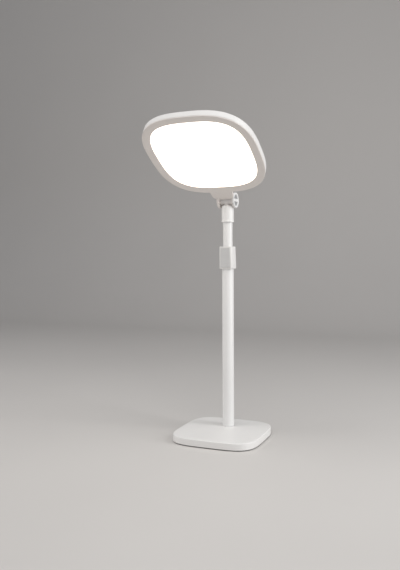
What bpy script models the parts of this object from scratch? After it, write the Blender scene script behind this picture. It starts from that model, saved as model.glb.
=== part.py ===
"""Video conference light: a squircle panel lamp on a telescopic pole with a weighted base.

Metres, +Z up. The origin is on the table under the pole's axis, and the light faces -Y.
Order of assembly: base, pole, height clamp, sliding tube, swivel ferrule, hinge, head, controls.
"""

import math

import bmesh
import bpy
from mathutils import Matrix, Vector

# Clearances and counts
GAP = 0.0003
RUNNING_GAP = 0.0004
OVERRUN = 0.002
TUBE_SIDES = 32
DISC_SIDES = 32
SMALL_SIDES = 12
MEDIUM_SIDES = 20
OUTLINE_POINTS = 56
FILLET_STEPS = 3
WELD = 0.000001

# Base
BASE_SIDE = 0.1622
BASE_EXPONENT = 4.15
BASE_CENTRE_Y = -0.0297
BASE_TOP_Z = 0.0142
BASE_FILLET = 0.0014
COVER_WALL = 0.002
COVER_TOP_WALL = 0.0022
COVER_INNER_FILLET = 0.001
FOOT_THICKNESS = 0.0015
FOOT_INSET = 0.0032
BASE_BOSS_RADIUS = 0.004
BASE_BOSS_LENGTH = 0.005
BASE_SCREW_INSET = 0.029
BASE_SCREW_RADIUS = 0.0017
BASE_SCREW_HEAD_RADIUS = 0.0035
BASE_SCREW_HEAD_DEPTH = 0.002
BASE_SCREW_LENGTH = 0.0082
BASE_SCREW_SOCKET_RADIUS = 0.0013
BASE_SCREW_SOCKET_DEPTH = 0.001
BASE_PILOT_RADIUS = 0.002

# Pole foot
POLE_BOLT_RADIUS = 0.004
POLE_BOLT_LENGTH = 0.014
POLE_BOLT_HEAD_RADIUS = 0.0065
POLE_BOLT_HEAD_HEIGHT = 0.003
POLE_BOLT_SOCKET_RADIUS = 0.003
POLE_BOLT_SOCKET_DEPTH = 0.0018
POLE_WASHER_RADIUS = 0.0085
POLE_WASHER_THICKNESS = 0.0014
POLE_PLUG_HEIGHT = 0.016
POLE_PLUG_FLANGE_CHAMFER = 0.0008

# Tubes
OUTER_TUBE_RADIUS = 0.011
INNER_TUBE_RADIUS = 0.009
TUBE_WALL = 0.0012
INNER_TUBE_TOP_Z = 0.416

# Height clamp
CLAMP_BOTTOM_Z = 0.315
CLAMP_HEIGHT = 0.0418
CLAMP_HALF_WIDTH = 0.0132
CLAMP_DRAFT = 0.0014
CLAMP_CORNER = 0.004
CLAMP_CORNER_STEPS = 4
CLAMP_EDGE = 0.0009
CLAMP_SEAT_DEPTH = 0.020
CLAMP_BUSH_WALL = 0.0007
CLAMP_BUSH_TOP_INSET = 0.0008
CLAMP_BUSH_SLIT = 0.001
COLLAR_SCREW_RADIUS = 0.002
COLLAR_SCREW_HEIGHT = 0.010
COLLAR_SCREW_SOCKET_RADIUS = 0.001
COLLAR_SCREW_SOCKET_DEPTH = 0.0009
SLIDE_UP = 0.120
STOP_CLEARANCE = 0.0004

# Clamp lever
LEVER_LIP = 0.0026
LEVER_PLATE_THICKNESS = 0.0011
LEVER_PROUD = 0.0003
LEVER_RIGHT_X = 0.0094
LEVER_PIN_INSET = 0.003
LEVER_PIN_RADIUS = 0.00115
LEVER_KNUCKLE_RADIUS = 0.0022
LEVER_NECK_HALF_WIDTH = 0.0015
LEVER_CAM_RADIUS = 0.0028
LEVER_CAM_REACH = 0.0041
LEVER_CAM_BOTTOM_RISE = 0.0015
LEVER_OPEN_ANGLE = math.radians(90)
LEVER_RELIEF = 0.0003
LEVER_EDGE_RETURN = 0.0012
LEVER_RETURN_DEPTH = 0.0016

# Lower slide guide
GUIDE_FLANGE = 0.006
GUIDE_SPIGOT = 0.008
GUIDE_BORE = 0.0025
GUIDE_CHAMFER = 0.0008

# Swivel
FERRULE_RADIUS = 0.0114
FERRULE_BOTTOM_Z = 0.4025
FERRULE_FLOOR = 0.002
FERRULE_RIM = 0.0006
FERRULE_RIM_HEIGHT = 0.0014
FERRULE_CROWN = 0.0024
FERRULE_CROWN_GAP = 0.0012
SPIGOT_RADIUS = 0.007
SPIGOT_CLEARANCE = 0.0009
SWIVEL_WASHER_THICKNESS = 0.0006
SWIVEL_BOLT_RADIUS = 0.0025
SWIVEL_BOLT_HEAD_RADIUS = 0.0045
SWIVEL_BOLT_HEAD_HEIGHT = 0.0025
SWIVEL_BOLT_SOCKET_RADIUS = 0.002
SWIVEL_BOLT_SOCKET_DEPTH = 0.0014
WAVE_WASHER_THICKNESS = 0.0008
WAVE_WASHER_RADIUS = 0.006
SWIVEL_PLUG_HEIGHT = 0.0117
BARREL_SCREW_RADIUS = 0.002
BARREL_SCREW_DROP = 0.005
BARREL_SCREW_LENGTH = 0.0036
BARREL_SCREW_SOCKET_RADIUS = 0.001
BARREL_SCREW_SOCKET_DEPTH = 0.0014

# Hinge
HINGE_Z = 0.4435
HEAD_TILT = math.radians(59.3)
BARREL_RADIUS = 0.0085
EAR_INNER_X = 0.0128
EAR_THICKNESS = 0.0044
EAR_RIM = 0.0016
KNOB_WEB = 0.0011
CAP_SEAT_DEPTH = 0.0012
DISC_RADIUS = 0.01425
DISC_EDGE = 0.0006
FRICTION_WASHER_THICKNESS = 0.0006
FRICTION_WASHER_RADIUS = 0.0064
STUD_RADIUS = 0.002
STUD_SINK = 0.001
NUT_ACROSS_CORNERS_RADIUS = 0.004
NUT_THICKNESS = 0.002
NUT_WEB = 0.0009
KNOB_THICKNESS = 0.0032
KNOB_RIM = 0.0016
KNOB_POCKET_DEPTH = 0.0015
KNOB_BAR_HALF_WIDTH = 0.0027
KNOB_BAR_SINK = 0.0002
CAP_THICKNESS = 0.0009

# Head
HEAD_SIDE = 0.202
HEAD_EXPONENT = 2.89
HEAD_BOTTOM_UP = 0.0315
HEAD_FRONT = 0.0044
HEAD_DEPTH = 0.0132
FRAME_WIDTH = 0.0144
FRAME_RIM_DEPTH = 0.002
FRAME_LAND = 0.0018
FRAME_SLOPE_DROP = 0.0014
FRAME_LIP = 0.0008
FRAME_EDGE = 0.0015
FRAME_RIB_THICKNESS = 0.0012
FRAME_RIB_DEPTH = 0.0018
HOUSING_WALL = 0.002
HOUSING_FLOOR = 0.0018
HOUSING_FILLET = 0.0014
HOUSING_INNER_CHAMFER = 0.001
LENS_OVERLAP = 0.003
DIFFUSER_THICKNESS = 0.0014
GUIDE_THICKNESS = 0.003
GUIDE_INSET = 0.001
GUIDE_FLAT_INSET = 0.015
REFLECTOR_THICKNESS = 0.0003
BACK_PLATE_THICKNESS = 0.0008
BACK_PLATE_RIB_WIDTH = 0.002
RIB_BELOW_FLEX = 0.0115
STRIP_END_INSET = 0.062
STRIP_BOARD = 0.001
STRIP_LED_HEIGHT = 0.0009
STRIP_LED_LENGTH = 0.003
STRIP_LED_DEPTH = 0.0014
STRIP_LED_COUNT = 12
POST_RADIUS = 0.003
POST_INSET = 0.0073
HEAD_SCREW_RADIUS = 0.0013
HEAD_SCREW_HEAD_RADIUS = 0.0024
HEAD_SCREW_HEAD_DEPTH = 0.001
HEAD_SCREW_LENGTH = 0.006
SCREW_SLOT_WIDTH = 0.0008
SCREW_SLOT_DEPTH = 0.0005

# Tongue that joins the head to the hinge
TONGUE_TIP = 0.0094
TONGUE_ROOT_LEFT = 0.024
TONGUE_ROOT_RIGHT = 0.020
TONGUE_SIDE_LEFT = 0.0225
TONGUE_SIDE_RIGHT = 0.0163
TONGUE_CORNER_LEFT = 0.012
TONGUE_CORNER_RISE_LEFT = 0.010
TONGUE_CORNER_RIGHT = 0.005
TONGUE_THICKNESS = 0.0065
TONGUE_STEP = 0.0002
TONGUE_CORNER_STEPS = 5

# Control pod on the back
POD_WIDTH = 0.074
POD_HEIGHT = 0.034
POD_DEPTH = 0.008
POD_CENTRE_UP = 0.080
POD_CORNER = 0.006
POD_CORNER_STEPS = 4
POD_EDGE = 0.0015
POD_WALL = 0.0016
POD_POST_RADIUS = 0.003
POD_POST_INSET_X = 0.007
POD_POST_INSET_UP = 0.0065
BOARD_THICKNESS = 0.001
BOARD_MARGIN = 0.0008
SWITCH_SIDE = 0.006
SWITCH_BODY_HEIGHT = 0.0018
SWITCH_PLUNGER_RADIUS = 0.0016
SWITCH_PLUNGER_HEIGHT = 0.0005
BUTTON_PITCH = 0.016
BUTTON_RADIUS = 0.0042
BUTTON_FLANGE_RADIUS = 0.0052
BUTTON_FLANGE = 0.0009
BUTTON_PROUD = 0.0006
BUTTON_EDGE = 0.0004
BUTTON_STEM_RADIUS = 0.0015
BUTTON_TRAVEL = 0.0006
BUTTON_END_GAP = 0.0002
INLET_WIDTH = 0.009
INLET_HEIGHT = 0.0032
INLET_LENGTH = 0.0075
INLET_WALL = 0.0004
INLET_TONGUE = 0.0007
INLET_TONGUE_INSET = 0.0009
INLET_MOUTH_DEPTH = 0.006
INLET_INSET = 0.0002
FLEX_WIDTH = 0.004
FLEX_THICKNESS = 0.0003
FLEX_INSET = 0.0035
FLEX_INNER_X = 0.014
FLEX_LANDING = 0.0015

# Derived places
COVER_RIM_Z = FOOT_THICKNESS + GAP
COVER_CEILING_Z = BASE_TOP_Z - COVER_TOP_WALL
WEIGHT_BOTTOM_Z = COVER_RIM_Z
WEIGHT_TOP_Z = COVER_CEILING_Z - GAP
OUTER_TUBE_BORE = OUTER_TUBE_RADIUS - TUBE_WALL
INNER_TUBE_BORE = INNER_TUBE_RADIUS - TUBE_WALL
OUTER_TUBE_BOTTOM_Z = WEIGHT_TOP_Z + GAP
CLAMP_TOP_Z = CLAMP_BOTTOM_Z + CLAMP_HEIGHT
CLAMP_SHOULDER_Z = CLAMP_BOTTOM_Z + CLAMP_SEAT_DEPTH
OUTER_TUBE_TOP_Z = CLAMP_SHOULDER_Z - GAP
BUSH_BOTTOM_Z = CLAMP_SHOULDER_Z + GAP
BUSH_INNER_RADIUS = INNER_TUBE_RADIUS + GAP
BUSH_OUTER_RADIUS = BUSH_INNER_RADIUS + CLAMP_BUSH_WALL
INNER_TUBE_BOTTOM_Z = BUSH_BOTTOM_Z - SLIDE_UP - STOP_CLEARANCE
PIN_X = -CLAMP_HALF_WIDTH + LEVER_PIN_INSET
PIN_Y = -CLAMP_HALF_WIDTH + LEVER_PIN_INSET
LEVER_BOTTOM_Z = CLAMP_BOTTOM_Z + LEVER_LIP
LEVER_TOP_Z = CLAMP_TOP_Z - LEVER_LIP
LEVER_FRONT_Y = -CLAMP_HALF_WIDTH - LEVER_PROUD
LEVER_BACK_Y = LEVER_FRONT_Y + LEVER_PLATE_THICKNESS
SWIVEL_WASHER_Z = INNER_TUBE_TOP_Z + GAP
FERRULE_FLOOR_Z = SWIVEL_WASHER_Z + SWIVEL_WASHER_THICKNESS + GAP
FERRULE_FLOOR_TOP_Z = FERRULE_FLOOR_Z + FERRULE_FLOOR
WAVE_WASHER_Z = FERRULE_FLOOR_TOP_Z + GAP
SWIVEL_HEAD_Z = WAVE_WASHER_Z + WAVE_WASHER_THICKNESS + GAP
FERRULE_TOP_Z = HINGE_Z - BARREL_RADIUS - FERRULE_CROWN_GAP
SPIGOT_BOTTOM_Z = SWIVEL_HEAD_Z + SWIVEL_BOLT_HEAD_HEIGHT + SPIGOT_CLEARANCE
BARREL_HALF_LENGTH = EAR_INNER_X - GAP
EAR_OUTER_X = EAR_INNER_X + EAR_THICKNESS
EAR_SEAT_RADIUS = DISC_RADIUS - EAR_RIM
KNOB_INNER_X = EAR_INNER_X + KNOB_WEB + GAP
KNOB_RADIUS = DISC_RADIUS
CAP_SEAT_X = EAR_OUTER_X - CAP_SEAT_DEPTH
NUT_INNER_X = EAR_INNER_X + NUT_WEB + GAP
FACE_Y = -HEAD_FRONT
BACK_Y = HEAD_DEPTH - HEAD_FRONT
SEAM_Y = FACE_Y + FRAME_RIM_DEPTH
LIP_FRONT_Y = FACE_Y + FRAME_SLOPE_DROP
LIP_BACK_Y = LIP_FRONT_Y + FRAME_LIP
RIB_OUTER_INSET = HOUSING_WALL + GAP
RIB_INNER_INSET = RIB_OUTER_INSET + FRAME_RIB_THICKNESS
DIFFUSER_INSET = FRAME_WIDTH - LENS_OVERLAP
DIFFUSER_Y = LIP_BACK_Y + GAP
GUIDE_Y = DIFFUSER_Y + DIFFUSER_THICKNESS + GAP
REFLECTOR_Y = GUIDE_Y + GUIDE_THICKNESS + GAP
BACK_PLATE_Y = REFLECTOR_Y + REFLECTOR_THICKNESS + GAP
BACK_PLATE_END_Y = BACK_PLATE_Y + BACK_PLATE_THICKNESS
HOUSING_FLOOR_Y = BACK_Y - HOUSING_FLOOR
HEAD_HALF = HEAD_SIDE / 2
HEAD_CENTRE_UP = HEAD_BOTTOM_UP + HEAD_HALF
GUIDE_FLAT_HALF_WIDTH = HEAD_HALF - GUIDE_FLAT_INSET
STRIP_LENGTH = HEAD_SIDE - 2 * STRIP_END_INSET
POD_POST_X = POD_WIDTH / 2 - POD_POST_INSET_X
POD_POST_UP = POD_HEIGHT / 2 - POD_POST_INSET_UP
FLEX_CENTRE_UP = POD_CENTRE_UP + POD_HEIGHT / 2 - FLEX_INSET
POD_BACK_Y = BACK_Y + POD_DEPTH
POD_INNER_Y = POD_BACK_Y - POD_WALL
BOARD_Y = BACK_Y + GAP
SWITCH_Y = BOARD_Y + BOARD_THICKNESS + GAP
PLUNGER_END_Y = SWITCH_Y + SWITCH_BODY_HEIGHT + SWITCH_PLUNGER_HEIGHT
FLANGE_END_Y = POD_INNER_Y - GAP
BUTTON_REST_GAP = BUTTON_TRAVEL + BUTTON_END_GAP
POD_POST_END_Y = POD_INNER_Y - GAP


# Scene set-up: every piece is in the lamp's collection, and the shapes that cut or join are in another.
for leftover in list(bpy.data.objects):
    bpy.data.objects.remove(leftover, do_unlink=True)

lamp = bpy.data.collections.new("video_conference_light")
tools = bpy.data.collections.new("cutters")
tools.hide_render = True
bpy.context.scene.collection.children.link(lamp)
bpy.context.scene.collection.children.link(tools)


def pivot(name, place, tilt=0, parent=None):
    """An empty on a joint's axis, which carries the pieces that move with it."""
    empty = bpy.data.objects.new(name, None)
    empty.location = place
    empty.rotation_euler = (tilt, 0, 0)
    empty.parent = parent
    lamp.objects.link(empty)
    return empty


def dress(obj, colour, roughness, metallic=0.0):
    """Gives the piece its own material and smooth shading on its round faces."""
    look = bpy.data.materials.new(obj.name)
    look.use_nodes = True
    shader = look.node_tree.nodes["Principled BSDF"]
    shader.inputs["Base Color"].default_value = (*colour, 1.0)
    shader.inputs["Roughness"].default_value = roughness
    shader.inputs["Metallic"].default_value = metallic
    obj.data.materials.append(look)
    obj.data.shade_smooth()
    obj.data.set_sharp_from_angle(angle=math.radians(32))
    return obj


def add(name, shape, parent=None, helper=False):
    """Makes the object of a bmesh; a helper only cuts or joins other pieces."""
    bmesh.ops.recalc_face_normals(shape, faces=shape.faces)
    mesh = bpy.data.meshes.new(name)
    shape.to_mesh(mesh)
    shape.free()
    obj = bpy.data.objects.new(name, mesh)
    (tools if helper else lamp).objects.link(obj)
    obj.parent = parent
    if helper:
        obj.hide_render = True
        obj.display_type = "WIRE"
    return obj


def turn_to(axis):
    """The rotation that takes +Z onto the named axis."""
    turns = {"X": Matrix.Rotation(math.pi / 2, 4, "Y"), "Y": Matrix.Rotation(-math.pi / 2, 4, "X")}
    return turns.get(axis, Matrix.Identity(4))


def box(name, low, high, parent=None, helper=False, bevel=0, steps=2):
    """A block between two corners, with rounded edges where bevel is given."""
    shape = bmesh.new()
    low, high = Vector(low), Vector(high)
    size = high - low
    frame = Matrix.Translation((low + high) / 2) @ Matrix.Diagonal((*size, 1))
    bmesh.ops.create_cube(shape, size=1, matrix=frame)
    if bevel:
        bmesh.ops.bevel(shape, geom=shape.edges[:], offset=bevel, segments=steps, affect="EDGES", profile=0.5)
    return add(name, shape, parent, helper)


def rod(name, radius, start, length, axis="Z", parent=None, helper=False, sides=SMALL_SIDES):
    """A cylinder from a start point along an axis."""
    shape = bmesh.new()
    frame = Matrix.Translation(start) @ turn_to(axis) @ Matrix.Translation((0, 0, length / 2))
    bmesh.ops.create_cone(
        shape,
        cap_ends=True,
        segments=sides,
        radius1=radius,
        radius2=radius,
        depth=length,
        matrix=frame,
    )
    return add(name, shape, parent, helper)


def turned(name, profile, parent=None, helper=False, sides=TUBE_SIDES, axis="Z", place=(0, 0, 0), ring=False):
    """A profile of (radius, height) points, down its outer side, turned by a Screw modifier."""
    mesh = bpy.data.meshes.new(name)
    count = len(profile)
    edges = [(i, i + 1) for i in range(count - 1)]
    if ring:
        edges.append((count - 1, 0))
    mesh.from_pydata([(radius, 0, height) for radius, height in profile], edges, [])
    obj = bpy.data.objects.new(name, mesh)
    (tools if helper else lamp).objects.link(obj)
    screw = obj.modifiers.new("turn", "SCREW")
    screw.steps = sides
    screw.render_steps = sides
    screw.use_merge_vertices = True
    screw.merge_threshold = WELD
    screw.use_smooth_shade = True
    bpy.context.view_layer.update()
    solid = bpy.data.meshes.new_from_object(obj.evaluated_get(bpy.context.evaluated_depsgraph_get()))
    bpy.data.objects.remove(obj, do_unlink=True)
    shape = bmesh.new()
    shape.from_mesh(solid)
    bmesh.ops.remove_doubles(shape, verts=shape.verts, dist=WELD)
    bmesh.ops.transform(shape, matrix=Matrix.Translation(place) @ turn_to(axis), verts=shape.verts)
    bpy.data.meshes.remove(solid)
    return add(name, shape, parent, helper)


def flat(name, outline, start, thickness, axis="Z", parent=None, helper=False):
    """A flat outline as a filled 2D curve, extruded along an axis. Along Y, its second value is up."""
    curve = bpy.data.curves.new(name, "CURVE")
    curve.dimensions = "2D"
    curve.fill_mode = "BOTH"
    curve.extrude = thickness / 2
    spline = curve.splines.new("POLY")
    spline.points.add(len(outline) - 1)
    for point, (across, up) in zip(spline.points, outline):
        point.co = (across, up, 0, 1)
    spline.use_cyclic_u = True
    drawn = bpy.data.objects.new(name, curve)
    tools.objects.link(drawn)
    bpy.context.view_layer.update()
    solid = bpy.data.meshes.new_from_object(drawn.evaluated_get(bpy.context.evaluated_depsgraph_get()))
    bpy.data.objects.remove(drawn, do_unlink=True)
    shape = bmesh.new()
    shape.from_mesh(solid)
    bpy.data.meshes.remove(solid)
    bmesh.ops.remove_doubles(shape, verts=shape.verts, dist=WELD)
    middle = Vector((0, 0, start + thickness / 2))
    frame = Matrix.Translation(middle)
    if axis == "Y":
        frame = Matrix.Rotation(math.pi / 2, 4, "X") @ Matrix.Translation(-middle)
    bmesh.ops.transform(shape, matrix=frame, verts=shape.verts)
    return add(name, shape, parent, helper)


def loft(name, rings, parent=None, helper=False, closed=False):
    """A skin over rings of equal point counts: capped at both ends, or closed on itself."""
    shape = bmesh.new()
    rows = [[shape.verts.new(point) for point in ring] for ring in rings]
    count = len(rows[0])
    pairs = list(zip(rows, rows[1:]))
    if closed:
        pairs.append((rows[-1], rows[0]))
    for first, second in pairs:
        for i in range(count):
            j = (i + 1) % count
            shape.faces.new((first[i], first[j], second[j], second[i]))
    if not closed:
        shape.faces.new(rows[0])
        shape.faces.new(rows[-1])
    return add(name, shape, parent, helper)


def squircle(half, exponent, inset=0, count=OUTLINE_POINTS):
    """Points of |x|^n + |y|^n = half^n, moved inwards along the outline's normal by the inset."""
    points = []
    for i in range(count):
        angle = 2 * math.pi * (i + 0.5) / count
        x = math.copysign(abs(math.cos(angle)) ** (2 / exponent), math.cos(angle))
        y = math.copysign(abs(math.sin(angle)) ** (2 / exponent), math.sin(angle))
        across = math.copysign(abs(x) ** (exponent - 1), x)
        up = math.copysign(abs(y) ** (exponent - 1), y)
        length = math.hypot(across, up)
        points.append((half * x - inset * across / length, half * y - inset * up / length))
    return points


def rounded_rectangle(half_width, half_height, corner, steps):
    """Corner points of a rectangle with round corners, anticlockwise."""
    points = []
    for turn, (sign_x, sign_y) in enumerate(((1, 1), (-1, 1), (-1, -1), (1, -1))):
        for i in range(steps + 1):
            angle = math.pi / 2 * (turn + i / steps)
            across = sign_x * (half_width - corner) + corner * math.cos(angle)
            up = sign_y * (half_height - corner) + corner * math.sin(angle)
            points.append((across, up))
    return points


def boolean(target, other, operation):
    step = target.modifiers.new(other.name, "BOOLEAN")
    step.operation = operation
    step.solver = "EXACT"
    step.object = other
    return target


def cut(target, *others):
    for other in others:
        boolean(target, other, "DIFFERENCE")
    return target


def join(target, *others):
    for other in others:
        boolean(target, other, "UNION")
    return target


def base_ring(inset, height):
    outline = squircle(BASE_SIDE / 2, BASE_EXPONENT, inset)
    return [(x, y + BASE_CENTRE_Y, height) for x, y in outline]


def head_ring(inset, depth):
    outline = squircle(HEAD_HALF, HEAD_EXPONENT, inset)
    return [(x, depth, z + HEAD_CENTRE_UP) for x, z in outline]


# Colours: white powder coat and mouldings, bare metal, opal lens and circuit boards
WHITE = (0.86, 0.85, 0.83)
WARM_WHITE = (0.80, 0.77, 0.73)
LENS_WHITE = (0.97, 0.95, 0.90)
STEEL = (0.55, 0.55, 0.56)
ZINC = (0.68, 0.68, 0.69)
RUBBER = (0.03, 0.03, 0.032)
NATURAL = (0.80, 0.79, 0.74)
BOARD_GREEN = (0.04, 0.20, 0.10)
AMBER = (0.55, 0.33, 0.08)
BRIGHT_WHITE = (0.95, 0.95, 0.95)
SOFT_BLACK = (0.05, 0.05, 0.05)


# Base: a thick steel plate under a moulded cover with a soft top edge, on one rubber pad.
foot_pad = loft("foot_pad", [base_ring(FOOT_INSET, 0), base_ring(FOOT_INSET, FOOT_THICKNESS)])
dress(foot_pad, RUBBER, 0.9)

cover_rings = [base_ring(COVER_WALL + COVER_INNER_FILLET, COVER_CEILING_Z)]
cover_rings.append(base_ring(COVER_WALL, COVER_CEILING_Z - COVER_INNER_FILLET))
cover_rings.append(base_ring(COVER_WALL, COVER_RIM_Z))
cover_rings.append(base_ring(0, COVER_RIM_Z))
for i in range(FILLET_STEPS + 1):
    bend = math.pi / 2 * i / FILLET_STEPS
    drop = BASE_FILLET * (1 - math.sin(bend))
    cover_rings.append(base_ring(BASE_FILLET * (1 - math.cos(bend)), BASE_TOP_Z - drop))
base_cover = loft("base_cover", cover_rings)
cut(
    base_cover,
    rod(
        "cover_pole_hole",
        OUTER_TUBE_RADIUS + GAP,
        (0, 0, COVER_RIM_Z),
        BASE_TOP_Z,
        sides=TUBE_SIDES,
        helper=True,
    ),
)

weight_inset = COVER_WALL + GAP
weight_edge = COVER_INNER_FILLET
base_weight = loft(
    "base_weight",
    [
        base_ring(weight_inset, WEIGHT_BOTTOM_Z),
        base_ring(weight_inset, WEIGHT_TOP_Z - weight_edge),
        base_ring(weight_inset + weight_edge, WEIGHT_TOP_Z),
    ],
)
screw_reach = BASE_SIDE / 2 - BASE_SCREW_INSET
screw_places = [(x * screw_reach, BASE_CENTRE_Y + y * screw_reach) for x in (-1, 1) for y in (-1, 1)]
boss_bottom = COVER_CEILING_Z - BASE_BOSS_LENGTH
for number, (x, y) in enumerate(screw_places, 1):
    boss = rod(
        f"cover_boss_{number}",
        BASE_BOSS_RADIUS,
        (x, y, boss_bottom),
        BASE_BOSS_LENGTH + COVER_TOP_WALL / 2,
        helper=True,
    )
    pilot = rod(
        f"cover_pilot_{number}",
        BASE_PILOT_RADIUS,
        (x, y, boss_bottom - OVERRUN),
        BASE_BOSS_LENGTH + OVERRUN,
        helper=True,
    )
    join(base_cover, boss)
    cut(base_cover, pilot)
    head_bottom = WEIGHT_BOTTOM_Z + GAP
    head_top = head_bottom + BASE_SCREW_HEAD_DEPTH
    room = rod(
        f"weight_boss_room_{number}",
        BASE_BOSS_RADIUS + GAP,
        (x, y, boss_bottom - GAP),
        WEIGHT_TOP_Z,
        helper=True,
    )
    sink = turned(
        f"weight_sink_{number}",
        [
            (0, WEIGHT_TOP_Z),
            (BASE_SCREW_RADIUS + GAP, WEIGHT_TOP_Z),
            (BASE_SCREW_RADIUS + GAP, head_top + GAP),
            (BASE_SCREW_HEAD_RADIUS + GAP, head_bottom),
            (BASE_SCREW_HEAD_RADIUS + GAP, WEIGHT_BOTTOM_Z - OVERRUN),
            (0, WEIGHT_BOTTOM_Z - OVERRUN),
        ],
        place=(x, y, 0),
        sides=SMALL_SIDES,
        helper=True,
    )
    cut(base_weight, room, sink)
    screw = turned(
        f"base_screw_{number}",
        [
            (0, head_bottom + BASE_SCREW_LENGTH),
            (BASE_SCREW_RADIUS, head_bottom + BASE_SCREW_LENGTH),
            (BASE_SCREW_RADIUS, head_top),
            (BASE_SCREW_HEAD_RADIUS, head_bottom),
            (BASE_SCREW_SOCKET_RADIUS, head_bottom),
            (BASE_SCREW_SOCKET_RADIUS, head_bottom + BASE_SCREW_SOCKET_DEPTH),
            (0, head_bottom + BASE_SCREW_SOCKET_DEPTH),
        ],
        place=(x, y, 0),
        sides=SMALL_SIDES,
    )
    dress(screw, STEEL, 0.35, 1.0)

# Pole foot: a bolt from below clamps the tube's threaded plug down onto the steel plate.
bolt_head_z = WEIGHT_BOTTOM_Z + GAP
washer_z = bolt_head_z + POLE_BOLT_HEAD_HEIGHT + GAP
washer_top = washer_z + POLE_WASHER_THICKNESS
cut(
    base_weight,
    rod(
        "weight_bolt_hole",
        POLE_BOLT_RADIUS + GAP,
        (0, 0, washer_z),
        BASE_TOP_Z,
        sides=DISC_SIDES,
        helper=True,
    ),
    rod(
        "weight_washer_room",
        POLE_WASHER_RADIUS + GAP,
        (0, 0, WEIGHT_BOTTOM_Z - OVERRUN),
        washer_top + GAP - WEIGHT_BOTTOM_Z + OVERRUN,
        sides=DISC_SIDES,
        helper=True,
    ),
)
dress(base_cover, WHITE, 0.42)
dress(base_weight, STEEL, 0.5, 1.0)
pole_bolt = turned(
    "pole_bolt",
    [
        (0, washer_z + POLE_BOLT_LENGTH),
        (POLE_BOLT_RADIUS, washer_z + POLE_BOLT_LENGTH),
        (POLE_BOLT_RADIUS, bolt_head_z + POLE_BOLT_HEAD_HEIGHT),
        (POLE_BOLT_HEAD_RADIUS, bolt_head_z + POLE_BOLT_HEAD_HEIGHT),
        (POLE_BOLT_HEAD_RADIUS, bolt_head_z),
        (POLE_BOLT_SOCKET_RADIUS, bolt_head_z),
        (POLE_BOLT_SOCKET_RADIUS, bolt_head_z + POLE_BOLT_SOCKET_DEPTH),
        (0, bolt_head_z + POLE_BOLT_SOCKET_DEPTH),
    ],
    sides=SMALL_SIDES,
)
dress(pole_bolt, STEEL, 0.35, 1.0)


def ring(name, outer, inner, bottom, height, parent=None, sides=TUBE_SIDES, axis="Z", place=(0, 0, 0)):
    """A plain ring or tube."""
    profile = [(outer, bottom + height), (outer, bottom), (inner, bottom), (inner, bottom + height)]
    return turned(name, profile, parent, False, sides, axis, place, ring=True)


pole_washer = ring(
    "pole_washer",
    POLE_WASHER_RADIUS,
    POLE_BOLT_RADIUS + GAP,
    washer_z,
    POLE_WASHER_THICKNESS,
    sides=MEDIUM_SIDES,
)
dress(pole_washer, ZINC, 0.35, 1.0)

plug_radius = OUTER_TUBE_BORE - GAP
pole_plug = turned(
    "pole_plug",
    [
        (plug_radius - POLE_PLUG_FLANGE_CHAMFER, OUTER_TUBE_BOTTOM_Z + POLE_PLUG_HEIGHT),
        (plug_radius, OUTER_TUBE_BOTTOM_Z + POLE_PLUG_HEIGHT - POLE_PLUG_FLANGE_CHAMFER),
        (plug_radius, OUTER_TUBE_BOTTOM_Z),
        (POLE_BOLT_RADIUS + GAP, OUTER_TUBE_BOTTOM_Z),
        (POLE_BOLT_RADIUS + GAP, OUTER_TUBE_BOTTOM_Z + POLE_PLUG_HEIGHT),
    ],
    ring=True,
)
dress(pole_plug, ZINC, 0.45, 1.0)

outer_tube = ring(
    "outer_tube",
    OUTER_TUBE_RADIUS,
    OUTER_TUBE_BORE,
    OUTER_TUBE_BOTTOM_Z,
    OUTER_TUBE_TOP_Z - OUTER_TUBE_BOTTOM_Z,
)
dress(outer_tube, WHITE, 0.38)

# Height clamp: a square collar on the tube, with a room at one corner for the lever's cam.
shape = bmesh.new()
half = CLAMP_HALF_WIDTH
bmesh.ops.create_cube(
    shape,
    size=1,
    matrix=Matrix.Translation((0, 0, CLAMP_BOTTOM_Z + CLAMP_HEIGHT / 2))
    @ Matrix.Diagonal((2 * half, 2 * half, CLAMP_HEIGHT, 1)),
)
for corner in shape.verts:
    if corner.co.z > CLAMP_BOTTOM_Z + CLAMP_HEIGHT / 2 and corner.co.x > 0:
        corner.co.x -= CLAMP_DRAFT
upright = [edge for edge in shape.edges if abs(edge.verts[0].co.z - edge.verts[1].co.z) > CLAMP_HEIGHT / 2]
bmesh.ops.bevel(
    shape, geom=upright, offset=CLAMP_CORNER, segments=CLAMP_CORNER_STEPS, affect="EDGES", profile=0.5
)
level = [edge for edge in shape.edges if abs(edge.verts[0].co.z - edge.verts[1].co.z) < WELD]
bmesh.ops.bevel(shape, geom=level, offset=CLAMP_EDGE, segments=2, affect="EDGES", profile=0.5)
clamp_body = add("clamp_body", shape)
room_back_y = PIN_Y + LEVER_NECK_HALF_WIDTH + LEVER_RELIEF
lever_room = [
    (-CLAMP_HALF_WIDTH - OVERRUN, -CLAMP_HALF_WIDTH - OVERRUN),
    (LEVER_RIGHT_X + LEVER_RELIEF, -CLAMP_HALF_WIDTH - OVERRUN),
    (LEVER_RIGHT_X + LEVER_RELIEF, LEVER_BACK_Y + LEVER_RELIEF),
    (PIN_X, LEVER_BACK_Y + LEVER_RELIEF),
    (PIN_X, room_back_y),
    (-CLAMP_HALF_WIDTH - OVERRUN, room_back_y),
]
lever_height = LEVER_TOP_Z - LEVER_BOTTOM_Z
return_room_left = LEVER_RIGHT_X - LEVER_EDGE_RETURN - LEVER_RELIEF
cam_bottom = CLAMP_SHOULDER_Z + LEVER_CAM_BOTTOM_RISE
cam_height = LEVER_TOP_Z - LEVER_CAM_BOTTOM_RISE - cam_bottom
cam_shift = LEVER_CAM_REACH - LEVER_CAM_RADIUS
cam_room = [(PIN_X, PIN_Y)]
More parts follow.
